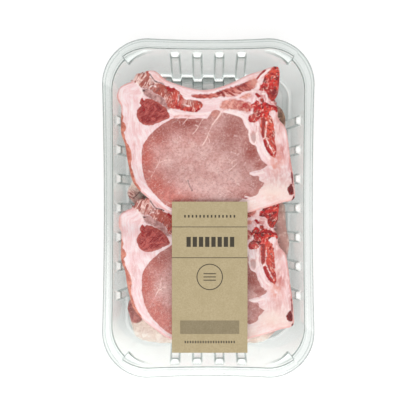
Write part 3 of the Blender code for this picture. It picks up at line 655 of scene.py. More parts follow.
def lane_light(lane, row, long_side, tabs, tint_and_painted_shade=0.0, side_painted_light=0.0):
    """Painted highlights and painted shade of the sheet where it bends, on one side's lane, more
    or less by side for how the light falls.
    """
    bright = row.get("bright", 0.0) * (LONG_PAINTED_LIGHT if long_side else 1.0)
    dark = row.get("dark", 0.0) * (LONG_PAINTED_SHADE if long_side and "inset" in row else 1.0)
    if "rib" in lane:
        on_rib = lane["depth"]
        narrow = 1.0 - TAB_HIGHLIGHT_NARROWING * row.get("tab_share", 0.0) if lane["side"] else 1.0
        bright += row.get("tab_painted_light", 0.0) * on_rib ** 2 * narrow * tabs
        dark += row.get("tab_painted_shade", 0.0) * on_rib
        if row.get("rib", 0.0) > 0.5 and 0.0 < lane["flank"] < 1.0:
            dark += FLANK_PAINTED_SHADE * row["rib"] * (1.0 - row.get("bright", 0.0))
    if "flange" in row:
        dark += tint_and_painted_shade * (1.0 - smoothstep(*PAINTED_SHADE_FADE, lane.get("along", lane.get("rib"))))
    if row_haze_and_painted_light(row):
        along = lane.get("along", lane.get("rib")) / INNER_CENTRE[1]
        bright += row_haze_and_painted_light(row) + side_painted_light * (1.0 - along ** 6)
    return min(bright, 1.0), min(max(dark, 0.0), 1.0)


def corner_light(lug, end, row):
    """Painted highlights and painted shade on a corner's lane, by the lug's share there and
    whether it is the lug's end.
    """
    bright = row.get("bright", 0.0) * CORNER_PAINTED_LIGHT
    bright += row.get("lug_painted_light", 0.0) * min(lug / LUG_PAINTED_LIGHT_FULL, 1.0)
    dark = row.get("dark", 0.0) * (CORNER_PAINTED_SHADE if "inset" in row else 1.0)
    dark += row.get("lug_painted_shade", 0.0) * np.interp(lug, LUG_PAINTED_SHADE_SPAN, (0.0, 1.0))
    if "lug_painted_shade" in row:
        dark += LUG_END_PAINTED_SHADE * end
    return min(bright + row_haze_and_painted_light(row), 1.0), min(dark, 1.0)


def ring_light(row):
    """The bends' painted light and painted shade round a whole row, in the same order as
    tray_ring; the right side gets more painted light, the left more painted shade.
    """
    right = [lane_light(lane, row, True, RIGHT_TAB_HIGHLIGHTS, RIGHT_PAINTED_SHADE, RIGHT_PAINTED_LIGHT)
             for lane in side_lanes(True)]
    left = [lane_light(lane, row, True, LEFT_TAB_HIGHLIGHTS, LEFT_PAINTED_SHADE) for lane in side_lanes(True)]
    short = [lane_light(lane, row, False, SHORT_TAB_HIGHLIGHTS) for lane in side_lanes(False)]
    corner = [corner_light(lug, end, row) for angle, lug, end in corner_lanes()]
    ends = corner + short + corner[::-1]
    return right + ends + left + ends


def edge_between(start, end):
    """The edge that joins two vertices."""
    return next(edge for edge in start.link_edges if edge.other_vert(start) is end)


def extrude_ring(mesh_data, ring):
    """Draw a closed ring of vertices out into a new one, in the same order."""
    edges = [edge_between(vertex, ring[index - 1]) for index, vertex in enumerate(ring)]
    new = bmesh.ops.extrude_edge_only(mesh_data, edges=edges)["geom"]
    fresh = {part for part in new if isinstance(part, bmesh.types.BMVert)}
    return [next(edge.other_vert(vertex) for edge in vertex.link_edges
                 if edge.other_vert(vertex) in fresh) for vertex in ring]


def build_tray(material):
    """The sheet, drawn from the skirt in and down to the floor, ring by ring."""
    rows = [tray_ring(row) for row in tray_rows()]
    # painted light and painted shade at the bends, row by row, kept at each vertex below
    lights = [ring_light(row) for row in tray_rows()]
    mesh_data = bmesh.new()
    painted_light_layer = mesh_data.verts.layers.float.new("bright")
    painted_shade_layer = mesh_data.verts.layers.float.new("dark")
    ring = bmesh.ops.create_circle(mesh_data, segments=len(rows[0]), radius=1.0)["verts"]
    for number, row in enumerate(rows):
        if number:
            ring = extrude_ring(mesh_data, ring)
        for vertex, place, light in zip(ring, row, lights[number]):
            vertex.co = place
            vertex[painted_light_layer], vertex[painted_shade_layer] = light
    floor = bmesh.ops.contextual_create(mesh_data, geom=ring)["faces"]
    bmesh.ops.recalc_face_normals(mesh_data, faces=mesh_data.faces)
    if floor[0].normal.z < 0:
        bmesh.ops.reverse_faces(mesh_data, faces=mesh_data.faces)
    mesh = mesh_from(mesh_data, "clear_tray")
    mesh.materials.append(material)
    tray = finish_mesh("clear_tray", mesh, "clear_tray", "tray")
    shell = tray.modifiers.new("Sheet", "SOLIDIFY")
    shell.thickness = SHEET * MM
    shell.offset = -1.0
    shell.use_even_offset = True
    return tray


# Chops

def outline_block(outline, low, high):
    """A closed block of an outline's shape."""
    mesh_data = bmesh.new()
    face = mesh_data.faces.new([mesh_data.verts.new((x, y, low)) for x, y in outline])
    top = bmesh.ops.extrude_face_region(mesh_data, geom=[face])["geom"]
    raised = [part for part in top if isinstance(part, bmesh.types.BMVert)]
    bmesh.ops.translate(mesh_data, vec=(0, 0, high - low), verts=raised)
    bmesh.ops.recalc_face_normals(mesh_data, faces=mesh_data.faces)
    return mesh_data


def remeshed(mesh_data, voxel, rounds):
    """The block as an even net of small faces, with its edges softened."""
    mesh = mesh_from(mesh_data, "block")
    block = bpy.data.objects.new("block", mesh)
    bpy.context.scene.collection.objects.link(block)
    net = block.modifiers.new("Net", "REMESH")
    net.mode = "VOXEL"
    net.voxel_size = voxel * MM
    soft = block.modifiers.new("Soft", "SMOOTH")
    soft.factor = 0.5
    soft.iterations = rounds
    graph = bpy.context.evaluated_depsgraph_get()
    result = bpy.data.meshes.new_from_object(block.evaluated_get(graph))
    bpy.data.objects.remove(block, do_unlink=True)
    bpy.data.meshes.remove(mesh)
    return result


def vertex_places(mesh):
    """A mesh's vertices in millimetres, one a row."""
    places = np.empty(len(mesh.vertices) * 3)
    mesh.vertices.foreach_get("co", places)
    return places.reshape(-1, 3) / MM


def set_vertex_places(mesh, places):
    mesh.vertices.foreach_set("co", (places * MM).ravel())
    mesh.update()


def store(mesh, name, values):
    """Keep one value at each vertex, for a material to read."""
    attribute = mesh.attributes.new(name, "FLOAT", "POINT")
    attribute.data.foreach_set("value", values.astype(np.float32))


def soft_noise(places, size, seed):
    """Smooth noise, -1 to 1, with blobs of about the given size."""
    shift = Vector((seed * 17.3, seed * 5.1, seed * 3.7))
    return np.array([noise.noise(Vector(place) / size + shift) for place in places])


def shaped_side(places, outline, thickness):
    """Draw the side in as the solid's side does, fading towards the middle."""
    flat = places[:, :2]
    distance, to_edge = line_distance(flat, outline, True)
    distance = np.where(inside(flat, outline), distance, 0.0)
    share = np.clip(places[:, 2] / thickness, 0.0, 1.0)
    inset = np.interp(share, SIDE_SHARES, SIDE_INSETS) * (1 - smoothstep(0, SIDE_FADE, distance))
    length = np.maximum(np.hypot(*to_edge.T), 1e-6)
    outward = to_edge / length[:, None]
    outward[length < 0.05] = 0.0
    moved = places.copy()
    moved[:, :2] -= outward * inset[:, None]
    return moved, distance


def region_distances(flat):
    """Distance from each region and line of the cut face, negative inside."""
    fields = {}
    for name, outlines in REGIONS.items():
        fields[name] = np.min([signed_distance(flat, smooth_loop(outline, 4))
                               for outline in outlines], axis=0)
    for name, strokes in STROKES.items():
        fields[name] = np.min([line_distance(flat, smooth_loop(stroke[1:], 4, closed=False),
                                             False)[0] - stroke[0] for stroke in strokes], axis=0)
    return {name: np.clip(field, -EDGE_LIMIT, EDGE_LIMIT) for name, field in fields.items()}


def patch_shares(flat, patches):
    """How strongly each kind of soft patch colours each point, 0 to 1."""
    shares = {}
    for name, spots in patches.items():
        total = np.zeros(len(flat))
        for x, y, half_x, half_y, strength in spots:
            reach = ((flat[:, 0] - x) / half_x) ** 2 + ((flat[:, 1] - y) / half_y) ** 2
            total = np.maximum(total, strength * np.exp(-PATCH_FALLOFF * reach))
        shares[name] = total
    return shares


def swell_left(places, swell):
    """Draw a chop's left edge out, most at the middle of the swell."""
    reach, middle, half, start, end = swell
    along = np.exp(-((places[:, 1] - middle) / half) ** 2)
    places[:, 0] -= reach * along * smoothstep(start, end, places[:, 0])


def face_relief(places, fields):
    """Rise and fall of the cut face in millimetres: swells, grooves and rough bone."""
    x, y = places[:, 0], places[:, 1]
    relief = WAVE_HEIGHT * np.sin(x / 10.0 + 0.6) * np.cos(y / 12.0)
    relief += LOIN_SWELL * np.exp(-((x / 28.0) ** 2 + ((y + 18.0) / 22.0) ** 2))
    for name, depth, width in GROOVES:
        relief -= depth * np.exp(-(fields[name] / width) ** 2)
    relief += CAP_RISE * smoothstep(0.5, -2.0, fields["cap"])
    bone = np.maximum(smoothstep(*BONE_EDGE, fields["rib"]),
                      smoothstep(*BONE_EDGE, np.minimum(fields["chine"], fields["marrow"])))
    relief += bone * (BONE_ROUGH * soft_noise(places, BONE_GRAIN, 1) - BONE_SINK)
    relief += (1 - bone) * MEAT_ROUGH * soft_noise(places, MEAT_GRAIN, 2)
    relief -= CRACK_DEPTH * smoothstep(*LINE_EDGE, fields["crack"])
    relief += SINEW_RISE * smoothstep(*LINE_EDGE, fields["white"])
    return relief


def build_chop_pattern():
    """One flat chop with its regions kept as attributes, to be laid twice."""
    outline = smooth_loop(CHOP_OUTLINE, 4)
    thickness = UPPER_TOP - UPPER_BOTTOM
    pattern = remeshed(outline_block(outline, 0.0, thickness), UPPER_VOXEL, 4)
    places = vertex_places(pattern)
    shaped, depth = shaped_side(places, outline, thickness)
    flat = shaped[:, :2]
    fields = region_distances(flat)
    for name, field in fields.items():
        store(pattern, name, field)
    for name, share in patch_shares(flat, UPPER_PATCHES).items():
        store(pattern, name, share)
    store(pattern, "edge", depth)
    upper = smoothstep(*UPPER_PART, shaped[:, 2] / thickness)
    shaped[:, 2] += face_relief(shaped, fields) * upper
    shaped[:, 2] = np.maximum(shaped[:, 2], 0.0)
    set_vertex_places(pattern, shaped)
    return pattern


def laid_chop(name, pattern, place, bottom, top, swell, material):
    """A copy of the flat chop, bent to its bed's bottom and top as functions of Y.

    Its left side swells into the room between two of the tray's ribs.
    """
    mesh = pattern.copy()
    mesh.name = name
    places = vertex_places(mesh)
    swell_left(places, swell)
    places[:, :2] += place
    thickness = UPPER_TOP - UPPER_BOTTOM
    low, high = bottom(places[:, 1]), top(places[:, 1])
    share = places[:, 2] / thickness
    places[:, 2] = low + np.minimum(share, 1.0) * (high - low)
    places[:, 2] += np.maximum(share - 1.0, 0.0) * thickness
    set_vertex_places(mesh, places)
    mesh.materials.clear()
    mesh.materials.append(material)
    nodes = [name.replace("pork_", "") + part for part in ("", "_eye", "_cap", "_rib", "_chine")]
    return finish_mesh(name, mesh, "pork_fat", *nodes)


def build_upper_chops(material):
    """The front chop lies on the back one: it climbs where it laps over it."""
    pattern = build_chop_pattern()

    def climb(y):
        return smoothstep(FRONT_LIFT_SPAN[0], FRONT_LIFT_SPAN[1], y)

    def dip(y):
        return smoothstep(*BACK_DROP_SPAN, y)

    laid_chop("pork_chop_a", pattern, CHOP_A_PLACE,
              lambda y: UPPER_BOTTOM + FRONT_LIFT_BOTTOM * climb(y),
              lambda y: UPPER_TOP + FRONT_LIFT_TOP * climb(y),
              CHOP_A_SWELL, material)
    laid_chop("pork_chop_b", pattern, CHOP_B_PLACE,
              lambda y: np.full_like(y, UPPER_BOTTOM),
              lambda y: UPPER_TOP - BACK_DROP * dip(y),
              CHOP_B_SWELL, material)
    bpy.data.meshes.remove(pattern)


def build_under_chop(name, outline, node, material):
    """A lower chop, of which only the edges show."""
    thickness = LOWER_TOP - LOWER_BOTTOM
    curve = smooth_loop(outline, 4)
    mesh = remeshed(outline_block(curve, 0.0, thickness), UNDER_VOXEL, 4)
    places = vertex_places(mesh)
    shaped, depth = shaped_side(places, curve, thickness)
    swell_left(shaped, UNDER_SWELL)
    for key, share in patch_shares(shaped[:, :2], UNDER_PATCHES).items():
        store(mesh, key, share)
    split = line_distance(shaped[:, :2], smooth_loop(UNDER_SPLIT[1:], 4, closed=False), False)[0]
    store(mesh, "split", np.minimum(split - UNDER_SPLIT[0], EDGE_LIMIT))
    store(mesh, "edge", depth)
    upper = smoothstep(*UPPER_PART, shaped[:, 2] / thickness)
    shaped[:, 2] += upper * UNDER_RELIEF * soft_noise(shaped, UNDER_RELIEF_SIZE, 3)
    shaped[:, 2] += LOWER_BOTTOM
    set_vertex_places(mesh, shaped)
    mesh.materials.clear()
    mesh.materials.append(material)
    finish_mesh(name, mesh, "pork_shaded", node)


# Materials

RIPPLE_SIZES = (1.6, 5.0)
RIPPLE_REACH = 3.2
INK = (34, 30, 26)
ROW_INK = 0.92
RING_INK = 0.9
PLAIN_WHITE = (1.0, 1.0, 1.0, 1.0)


def paint(colour):
    """A colour for a socket: another socket, or red, green and blue as they show, 0 to 255."""
    return colour if isinstance(colour, bpy.types.NodeSocket) else srgb(*colour)


class Shader:
    """A material's nodes, with short calls for the ones that are used often."""

    def __init__(self, name):
        self.material = bpy.data.materials.new(name)
        self.material.use_nodes = True
        self.tree = self.material.node_tree
        self.tree.nodes.clear()
        self.output = self.tree.nodes.new("ShaderNodeOutputMaterial")
        self.coords = self.node("ShaderNodeTexCoord").outputs["Object"]
        self.edge_ripples = None

    def node(self, kind, sockets=None, **settings):
        """A new node, with its settings and what each of its sockets gets."""
        node = self.tree.nodes.new(kind)
        for key, value in settings.items():
            setattr(node, key, value)
        for key, value in (sockets or {}).items():
            if isinstance(value, bpy.types.NodeSocket):
                self.tree.links.new(value, node.inputs[key])
            else:
                node.inputs[key].default_value = value
        return node

    def math(self, operation, first, second=0.0, clamp=False):
        return self.node("ShaderNodeMath", {0: first, 1: second}, operation=operation,
                         use_clamp=clamp).outputs[0]

    def times(self, first, second):
        return self.math("MULTIPLY", first, second)

    def mix(self, share, first, second):
        return self.node("ShaderNodeMix", {"Factor": share, 6: paint(first), 7: paint(second)},
                         data_type="RGBA").outputs[2]

    def span(self, value, start, end, low=0.0, high=1.0):
        """Map a value's range start..end to low..high, eased."""
        sockets = {"Value": value, "From Min": start, "From Max": end, "To Min": low,
                   "To Max": high}
        return self.node("ShaderNodeMapRange", sockets, clamp=True,
                         interpolation_type="SMOOTHSTEP").outputs["Result"]

    def tones(self, value, start, end, first, second):
        """One colour that turns into another as a value goes from start to end."""
        return self.mix(self.span(value, start, end), first, second)

    def coats(self, colour, *coats):
        """A colour with coats laid over it in turn, each a share and a colour."""
        for share, over in coats:
            colour = self.mix(share, colour, over)
        return colour

    def along_edge(self, times):
        """Coordinates that draw a pattern out along the chop's outline."""
        axes = self.node("ShaderNodeSeparateXYZ", {0: self.coords}).outputs
        sockets = {0: self.times(self.kept("edge"), MM)}
        for index in (1, 2):
            sockets[index] = self.math("DIVIDE", axes[index - 1], times)
        return self.node("ShaderNodeCombineXYZ", sockets).outputs[0]

    def noise(self, size, detail=2.0, rough=0.5, distortion=0.0, stretch=None, vector=None):
        """Noise with blobs of about size millimetres, drawn out by (degrees, times)."""
        vector = vector or self.coords
        if stretch:
            turn, times = stretch
            sockets = {"Vector": self.coords, "Rotation": (0.0, 0.0, math.radians(turn)),
                       "Scale": (times, 1.0, 1.0)}
            vector = self.node("ShaderNodeMapping", sockets,
                               vector_type="TEXTURE").outputs["Vector"]
        sockets = {"Vector": vector, "Scale": 1.0 / (size * MM), "Detail": detail,
                   "Roughness": rough, "Distortion": distortion}
        return self.node("ShaderNodeTexNoise", sockets).outputs["Fac"]

    def kept(self, name):
        """A distance or a share that the mesh keeps at each of its points."""
        return self.node("ShaderNodeAttribute", attribute_name=name).outputs["Fac"]

    def ripples(self):
        """Two ripples that make the edges of the regions ragged, made once."""
        if self.edge_ripples is None:
            self.edge_ripples = [self.math("SUBTRACT", self.noise(size, 3.0, 0.6), 0.5)
                                 for size in RIPPLE_SIZES]
        return self.edge_ripples

    def region(self, name, soft=0.35, ragged=0.5, shift=0.0):
        """1 inside a region that the mesh keeps as a distance, 0 outside it."""
        distance = self.kept(name)
        for ripple in self.ripples():
            distance = self.math("ADD", distance, self.times(ripple, RIPPLE_REACH * ragged))
        return self.span(distance, shift + soft, shift - soft)

    def threads(self, size, width):
        """Thin wandering lines, 1 on a line: where a noise crosses its middle value."""
        wander = self.noise(size, 2.0, 0.5, 0.6)
        away = self.math("ABSOLUTE", self.math("SUBTRACT", wander, 0.5))
        return self.span(away, width, 0.0)

    def bump(self, height, depth):
        """Bump from a 0 to 1 height, so many millimetres deep."""
        sockets = {"Strength": 1.0, "Distance": depth * MM, "Height": height}
        return self.node("ShaderNodeBump", sockets).outputs["Normal"]

    def blend(self, share, first, second):
        """Two surfaces in one, the second by its share."""
        return self.node("ShaderNodeMixShader",
                         {0: share, 1: first.outputs[0], 2: second.outputs[0]})

    def finish(self, surface):
        self.tree.links.new(surface.outputs[0], self.output.inputs["Surface"])
        return self.material


def sheet_gloss(shader, through, roughness, low, high, normal=None):
    """Mix a see-through surface with gloss that grows towards grazing angles on both faces."""
    bent = {"Normal": normal} if normal else {}
    gloss = shader.node("ShaderNodeBsdfGlossy",
                        {"Color": PLAIN_WHITE, "Roughness": roughness, **bent})
    facing = shader.node("ShaderNodeLayerWeight", {"Blend": 0.5, **bent})
    grazing = shader.math("POWER", facing.outputs["Facing"], 4.0)
    share = shader.math("ADD", shader.times(grazing, high - low), low, clamp=True)
    return shader.blend(share, through, gloss)


def clear_plastic():
    """Clear sheet: see-through, dark green edge on, with painted dark lines and glowing painted
    highlights in its bends.
    """
    shader = Shader("Clear tray plastic")
    edge_on = shader.node("ShaderNodeLayerWeight", {"Blend": 0.5}).outputs["Facing"]
    # the sheet's colour, darker edge on, and grey-green where the mesh keeps painted shade
    tint_and_painted_shade = shader.coats((253, 254, 254),
                        (shader.math("POWER", edge_on, 9.0), (90, 116, 108)),
                        (shader.times(shader.kept("dark"), 0.7), (120, 140, 134)))
    through = shader.node("ShaderNodeBsdfTransparent", {"Color": tint_and_painted_shade})
    clear = sheet_gloss(shader, through, roughness=0.1, low=0.04, high=0.42)
    # painted highlights: a white surface that glows a little, laid on where the mesh keeps
    # painted light
    painted_glow = shader.node("ShaderNodeBsdfPrincipled", {
        "Base Color": (0.98, 0.985, 0.98, 1.0), "Roughness": 0.25,
        "Emission Color": (0.94, 1.0, 1.0, 1.0), "Emission Strength": 0.55})
    return shader.finish(shader.blend(shader.times(shader.kept("bright"), 0.9), clear, painted_glow))


def lidding_film():
    """Thin clear film with a faint ripple."""
    shader = Shader("Lidding film")
    through = shader.node("ShaderNodeBsdfTransparent", {"Color": srgb(252, 253, 252)})
    ripple = shader.bump(shader.noise(22.0, 2.0), 0.25)
    return shader.finish(sheet_gloss(shader, through, roughness=0.1, low=0.01, high=0.4,
                                     normal=ripple))


def meat_surface(shader, colour, roughness, normal):
    """Moist meat: a dull sheen under a thin wet coat, with a little light below the skin."""
    return shader.finish(shader.node("ShaderNodeBsdfPrincipled", {
        "Base Color": colour, "Roughness": roughness, "Normal": normal,
        "Specular IOR Level": 0.22, "Coat Weight": 0.2, "Coat Roughness": 0.18,
        "Subsurface Weight": 0.06, "Subsurface Radius": (1.0, 0.35, 0.25),
        "Subsurface Scale": 1.0 * MM}))


def fat_colour(shader, medium, broad):
    """Pale pink fat, a little deeper in broad patches, with fine streaks."""
    layers = shader.noise(1.3, 2.0, 0.5, 0.3, vector=shader.along_edge(7.0))
    grain = shader.noise(1.4, 2.0, 0.5, 0.2, (84.0, 4.0))
    streaks = shader.noise(1.8, 3.0, 0.6, 0.4, (84.0, 3.0))
    return shader.coats(
        shader.tones(broad, 0.35, 0.65, (247, 210, 215), (252, 227, 231)),
        (shader.span(medium, 0.5, 0.75, high=0.6), (240, 190, 192)),
        (shader.span(layers, 0.5, 0.64, high=0.4), (232, 174, 174)),
        (shader.span(layers, 0.46, 0.36, high=0.5), (255, 240, 243)),
        (shader.span(grain, 0.5, 0.68, high=0.25), (240, 184, 186)),
        (shader.kept("creamy"), (247, 221, 214)),
        (shader.times(shader.kept("peached"), shader.span(medium, 0.25, 0.6)), (228, 144, 126)),
        (shader.times(shader.kept("rosy"), shader.span(streaks, 0.36, 0.6)), (208, 124, 122)),
        (shader.span(shader.kept("edge"), 1.0, 0.2, high=0.35), (232, 132, 118)))


def loin_colour(shader, medium, broad):
    """The eye of the loin: mottled pink, browner at its top and right, coral at its left."""
    speckle = shader.noise(1.3, 3.0, 0.6)
    pale = shader.times(shader.threads(5.0, 0.018), shader.span(shader.noise(6.0), 0.45, 0.6))
    return shader.coats(
        shader.tones(broad, 0.38, 0.62, (217, 163, 159), (233, 187, 185)),
        (shader.times(shader.kept("greyed"), 0.85), (176, 124, 119)),
        (shader.kept("flushed"), (186, 84, 72)),
        (shader.kept("browned"), (152, 62, 53)),
        (shader.kept("salmon"), (214, 140, 128)),
        (shader.kept("coral"), (212, 98, 84)),
        (shader.span(shader.kept("eye"), -3.5, -0.4, high=0.25), (180, 94, 84)),
        (shader.span(medium, 0.42, 0.7, high=0.4), (172, 106, 102)),
        (shader.span(speckle, 0.5, 0.66, high=0.22), (246, 202, 198)),
        (shader.span(speckle, 0.48, 0.34, high=0.34), (154, 80, 76)),
        (shader.times(pale, 0.5), (255, 226, 224)))


def rib_bone_colour(shader, medium):
    """Cut rib: brownish pink with dark and pale streaks, striped at its end, redder low down."""
    red_bone = shader.kept("red_bone")
    streaks = shader.noise(1.9, 2.0, 0.6, 0.8, (66.0, 2.6))
    pale = shader.span(shader.noise(1.9, 2.0, 0.6, 1.2, (76.0, 2.4)), 0.56, 0.63)
    stripes = shader.noise(1.5, 1.0, 0.5, 0.5, (62.0, 4.0))
    striped = shader.coats(
        shader.tones(stripes, 0.45, 0.54, (160, 80, 72), (248, 212, 206)),
        (shader.span(medium, 0.5, 0.6, high=0.5), (208, 134, 124)))
    return shader.coats(
        shader.mix(red_bone, (172, 72, 58), (220, 66, 52)),
        (shader.span(streaks, 0.52, 0.62), shader.mix(red_bone, (136, 48, 40), (156, 16, 24))),
        (shader.times(pale, 0.9), (248, 204, 196)),
        (shader.kept("pale_bone"), striped),
        (shader.span(medium, 0.5, 0.75, high=0.4), (166, 80, 66)))


def red_bone_colour(shader, medium, red, orange, dark, pale, stretch):
    """Spongy bone full of blood: bright red with dark blots and drawn out pale flecks."""
    blots = shader.span(shader.noise(2.2, 2.0, 0.6, 0.6), 0.53, 0.6)
    flecks = shader.span(shader.noise(1.5, 2.0, 0.6, 0.8, stretch), 0.56, 0.63)
    return shader.coats(
        shader.tones(medium, 0.4, 0.6, red, orange),
        (shader.kept("orange_bone"), (224, 84, 64)),
        (shader.kept("dull_bone"), (190, 96, 88)),
        (shader.kept("dark_bone"), (104, 6, 16)),
        (blots, dark),
        (shader.times(flecks, 0.65), pale))


def pork():
    """The cut face of a chop: fat, lean, bone and blood, laid over each other by region."""
    shader = Shader("Pork chop")
    fine = shader.noise(0.9, 3.0, 0.65)
    medium = shader.noise(3.0, 3.0, 0.6)
    broad = shader.noise(9.0, 2.0)
    slanted = shader.noise(1.4, 2.0, 0.6, 0.4, (-32.0, 3.0))
    fibres = shader.noise(1.6, 2.0, 0.5, 0.5, (38.0, 2.6))
    crossing = shader.noise(1.5, 2.0, 0.5, 0.6, (-48.0, 2.6))
    spots = shader.span(shader.noise(1.8, 2.0), 0.42, 0.56)
    maroon = shader.kept("maroon")

    soft_pink = shader.coats(
        shader.tones(medium, 0.38, 0.62, (236, 164, 152), (200, 112, 102)),
        (shader.span(fine, 0.5, 0.66, high=0.6), (242, 190, 182)),
        (shader.times(shader.kept("flushed"), spots), (178, 30, 34)),
        (shader.kept("greyed"), (204, 166, 166)))
    band = shader.tones(medium, 0.35, 0.65, (208, 158, 156), (154, 100, 98))
    strip = shader.coats(
        shader.tones(slanted, 0.36, 0.6, (158, 46, 42), (206, 98, 86)),
        (shader.times(shader.kept("dark_strip"), shader.span(slanted, 0.62, 0.48)),
         (122, 16, 24)),
        (shader.times(shader.kept("hatched"), shader.span(slanted, 0.44, 0.56)),
         (246, 196, 190)),
        (shader.times(shader.kept("peached"), 0.8), (228, 158, 146)))
    cap = shader.coats(
        shader.tones(fibres, 0.38, 0.62, (140, 26, 30), (190, 86, 80)),
        (shader.span(crossing, 0.55, 0.66, high=0.7), (136, 20, 30)),
        (shader.span(shader.kept("cap"), -2.6, -0.2, high=0.5), (186, 88, 78)))
    marrow = red_bone_colour(shader, medium, (176, 30, 30), (208, 76, 62), (150, 10, 14),
                             (252, 200, 186), (-55.0, 2.4))
    chine = red_bone_colour(shader, medium, (186, 0, 14), (222, 36, 30), (108, 0, 8),
                            (255, 200, 186), (48.0, 1.6))
    rind = shader.tones(medium, 0.35, 0.65, (184, 92, 74), (226, 142, 122))
    clot = shader.coats(shader.tones(fine, 0.4, 0.6, (110, 6, 12), (206, 60, 48)),
                        (maroon, (98, 4, 14)))
    colour = shader.coats(
        fat_colour(shader, medium, broad),
        (shader.region("peach", 1.0, 0.9), soft_pink),
        (shader.region("band", 0.8, 0.7, 0.5), band),
        (shader.region("strip", 0.55, 0.8), strip),
        (shader.region("eye", 0.3, 0.35), loin_colour(shader, medium, broad)),
        (shader.region("cap", 0.3, 0.35), cap),
        (shader.region("rib", 0.35, 0.5), rib_bone_colour(shader, medium)),
        (shader.region("marrow", 0.35, 0.5), marrow),
        (shader.region("chine", 0.35, 0.7), chine),
        (shader.region("sinew", 0.4, 0.3), (154, 42, 40)),
        (shader.region("white", 0.45, 0.5), (255, 228, 228)),
        (shader.region("vein", 0.35, 0.25), (250, 214, 210)),
        (shader.region("rind", 0.25, 0.3), rind),
        (shader.region("clot", 0.35, 0.6), clot),
        (shader.region("blood", 0.4, 0.4, 0.1), shader.mix(maroon, (164, 0, 14), (98, 4, 20))),
        (shader.region("crack", 0.3, 0.15), (76, 40, 46)))

    grain = shader.math("ADD", shader.times(fine, 0.6), shader.times(medium, 0.4))
    roughness = shader.span(medium, 0.3, 0.7, 0.38, 0.55)
    return meat_surface(shader, colour, roughness, shader.bump(grain, 0.5))


def shaded_pork():
    """The edges of the chops below: dull pink, cream, red and brown, with grey painted shade
    where they lie in shadow and brown painted shade in the gap between the chops above.
    """
    shader = Shader("Under chop")
    fine = shader.noise(0.9, 3.0, 0.6)
    medium = shader.noise(3.0, 3.0, 0.6)
    broad = shader.noise(12.0, 2.0)
    slanted = shader.noise(1.0, 2.0, 0.6, 0.4, (-40.0, 3.0))
    colour = shader.coats(
        shader.tones(broad, 0.4, 0.6, (202, 156, 148), (182, 138, 130)),
        (shader.span(medium, 0.5, 0.7), (228, 194, 186)),
        (shader.span(shader.kept("creamed"), 0.1, 0.75),
         shader.tones(medium, 0.4, 0.6, (250, 240, 232), (234, 216, 204))),
        (shader.span(shader.kept("beige"), 0.3, 0.6),
         shader.tones(fine, 0.4, 0.6, (236, 220, 210), (208, 184, 172))),
        (shader.span(shader.kept("meaty"), 0.36, 0.54),
         shader.tones(medium, 0.4, 0.6, (134, 58, 54), (186, 112, 104))),
        (shader.kept("reddened"),
         shader.tones(slanted, 0.42, 0.56, (146, 62, 56), (236, 192, 182))),
        # painted shade: grey where these chops lie in shadow
        (shader.kept("grey_painted_shade"),
         shader.tones(slanted, 0.4, 0.6, (138, 132, 120), (176, 170, 158))),
        # brown, and painted shade where its patch lies in the gap between the chops above
        (shader.kept("browned"),
         shader.tones(medium, 0.4, 0.6, (118, 82, 62), (166, 130, 102))),
        (shader.region("split", 0.35, 0.2), (84, 20, 32)))
    return meat_surface(shader, colour, 0.45, shader.bump(fine, 0.4))


def label_paper():
    """Tan paper with a fibre grain, printed with dark rules, rows of blocks, bars and a ring."""
    shader = Shader("Label paper")
    fibre = shader.noise(0.7, 4.0, 0.7)
    cloud = shader.noise(9.0, 2.0)
    paper = shader.coats(
        shader.tones(fibre, 0.35, 0.65, (163, 147, 113), (177, 162, 129)),
        (shader.span(cloud, 0.4, 0.7, high=0.35), (159, 144, 109)))
    axes = shader.node("ShaderNodeSeparateXYZ", {0: shader.coords}).outputs
    x, y = axes["X"], axes["Y"]

    def beyond(value, middle, half):
        """How far a place lies beyond half a width from a middle, in metres."""
        away = shader.math("ABSOLUTE", shader.math("SUBTRACT", value, middle * MM))
        return shader.math("SUBTRACT", away, half * MM)

    def beyond_box(middle_x, middle_y, half_x, half_y):
        return shader.math("MAXIMUM", beyond(x, middle_x, half_x), beyond(y, middle_y, half_y))

    prints = [(beyond_box(*bar[:-1]), bar[-1]) for bar in LABEL_BARS]
    for middle_x, middle_y, half_x, half_y, pitch, filled in LABEL_ROWS:
        start = shader.math("SUBTRACT", x, (middle_x - half_x) * MM)
        step = shader.math("FLOORED_MODULO", start, pitch * MM)
        row = beyond_box(middle_x, middle_y, half_x, half_y)
        gaps = beyond(step, pitch / 2, filled * pitch / 2)
        prints.append((shader.math("MAXIMUM", row, gaps), ROW_INK))
    middle_x, middle_y, radius, half_line = LABEL_RING
    away_x = shader.math("SUBTRACT", x, middle_x * MM)
    away_y = shader.math("SUBTRACT", y, middle_y * MM)
    distance = shader.math("SQRT", shader.math("ADD", shader.times(away_x, away_x),
                                               shader.times(away_y, away_y)))
    prints.append((beyond(distance, radius, half_line), RING_INK))
    printed = shader.coats(paper, *(
        (shader.span(outside, INK_SOFT * MM, -INK_SOFT * MM, high=strength), INK)
        for outside, strength in prints))
    return shader.finish(shader.node("ShaderNodeBsdfPrincipled", {
        "Base Color": printed, "Roughness": 0.7, "Specular IOR Level": 0.3,
        "Normal": shader.bump(fibre, 0.03)}))


def floor_material():
    """A pale matt floor that glows a little, so that it stays white round the pack."""
    shader = Shader("Pale floor")
    return shader.finish(shader.node("ShaderNodeBsdfPrincipled", {
        "Base Color": (0.93, 0.93, 0.93, 1.0), "Roughness": 0.9, "Specular IOR Level": 0.1,
        "Emission Color": PLAIN_WHITE, "Emission Strength": 0.085}))


# Stage

CAMERA_HEIGHT = 0.695
SENSOR = 36.0
FRAME_WIDTH = 0.2816            # what the photo's frame spans at the tray's rim
PHOTO_SHIFT = 0.0002            # the tray sits this far right of the photo's middle
FLOOR_DROP = 0.0002
DAYLIGHT = 0.83

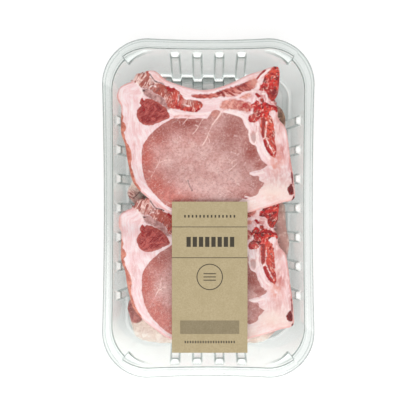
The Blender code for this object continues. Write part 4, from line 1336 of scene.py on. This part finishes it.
# Lamps: name, place, size and power
LAMPS = (
    ("Key", (-0.02, -0.48, 0.8), 0.5, 3.4),
    ("Fill", (-0.5, 0.5, 1.4), 0.7, 0.9),
    ("Window", (-0.26, -0.2, 1.4), 0.26, 0.45),
)


def build_camera():
    """Straight above the pack, as far off as the photo's perspective asks."""
    data = bpy.data.cameras.new("Camera")
    data.sensor_width = SENSOR
    data.lens = SENSOR * (CAMERA_HEIGHT - TRAY_HEIGHT * MM) / FRAME_WIDTH
    camera = bpy.data.objects.new("Camera", data)
    camera.location = (-PHOTO_SHIFT, 0.0, CAMERA_HEIGHT)
    bpy.context.scene.collection.objects.link(camera)
    bpy.context.scene.camera = camera


def add_light(name, place, size, power):
    """A soft square lamp that shines on the pack."""
    data = bpy.data.lights.new(name, "AREA")
    data.shape = "SQUARE"
    data.size = size
    data.energy = power
    lamp = bpy.data.objects.new(name, data)
    lamp.location = place
    lamp.rotation_euler = (-Vector(place)).to_track_quat("-Z", "Y").to_euler()
    bpy.context.scene.collection.objects.link(lamp)


def build_stage():
    """The floor, daylight from all round and the lamps."""
    mesh_data = bmesh.new()
    bmesh.ops.create_grid(mesh_data, x_segments=1, y_segments=1, size=3.0)
    mesh = bpy.data.meshes.new("floor")
    mesh_data.to_mesh(mesh)
    mesh_data.free()
    mesh.materials.append(floor_material())
    floor = bpy.data.objects.new("floor", mesh)
    floor.location.z = -FLOOR_DROP
    bpy.context.scene.collection.objects.link(floor)
    world = bpy.data.worlds.new("Studio")
    world.use_nodes = True
    background = world.node_tree.nodes["Background"]
    background.inputs["Color"].default_value = PLAIN_WHITE
    background.inputs["Strength"].default_value = DAYLIGHT
    bpy.context.scene.world = world
    for lamp in LAMPS:
        add_light(*lamp)
    bpy.context.scene.view_settings.view_transform = "Standard"


def dress_film_and_label():
    """The film and the label keep their own shapes."""
    for name, material in (("film", lidding_film()), ("label", label_paper())):
        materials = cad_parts[name].data.materials
        materials.clear()
        materials.append(material)


build_camera()
build_stage()
build_tray(clear_plastic())
dress_film_and_label()
build_upper_chops(pork())
shaded = shaded_pork()
build_under_chop("under_chop_one", UNDER_BACK_OUTLINE, "under_chop_back", shaded)
build_under_chop("under_chop_two", UNDER_FRONT_OUTLINE, "under_chop_front", shaded)
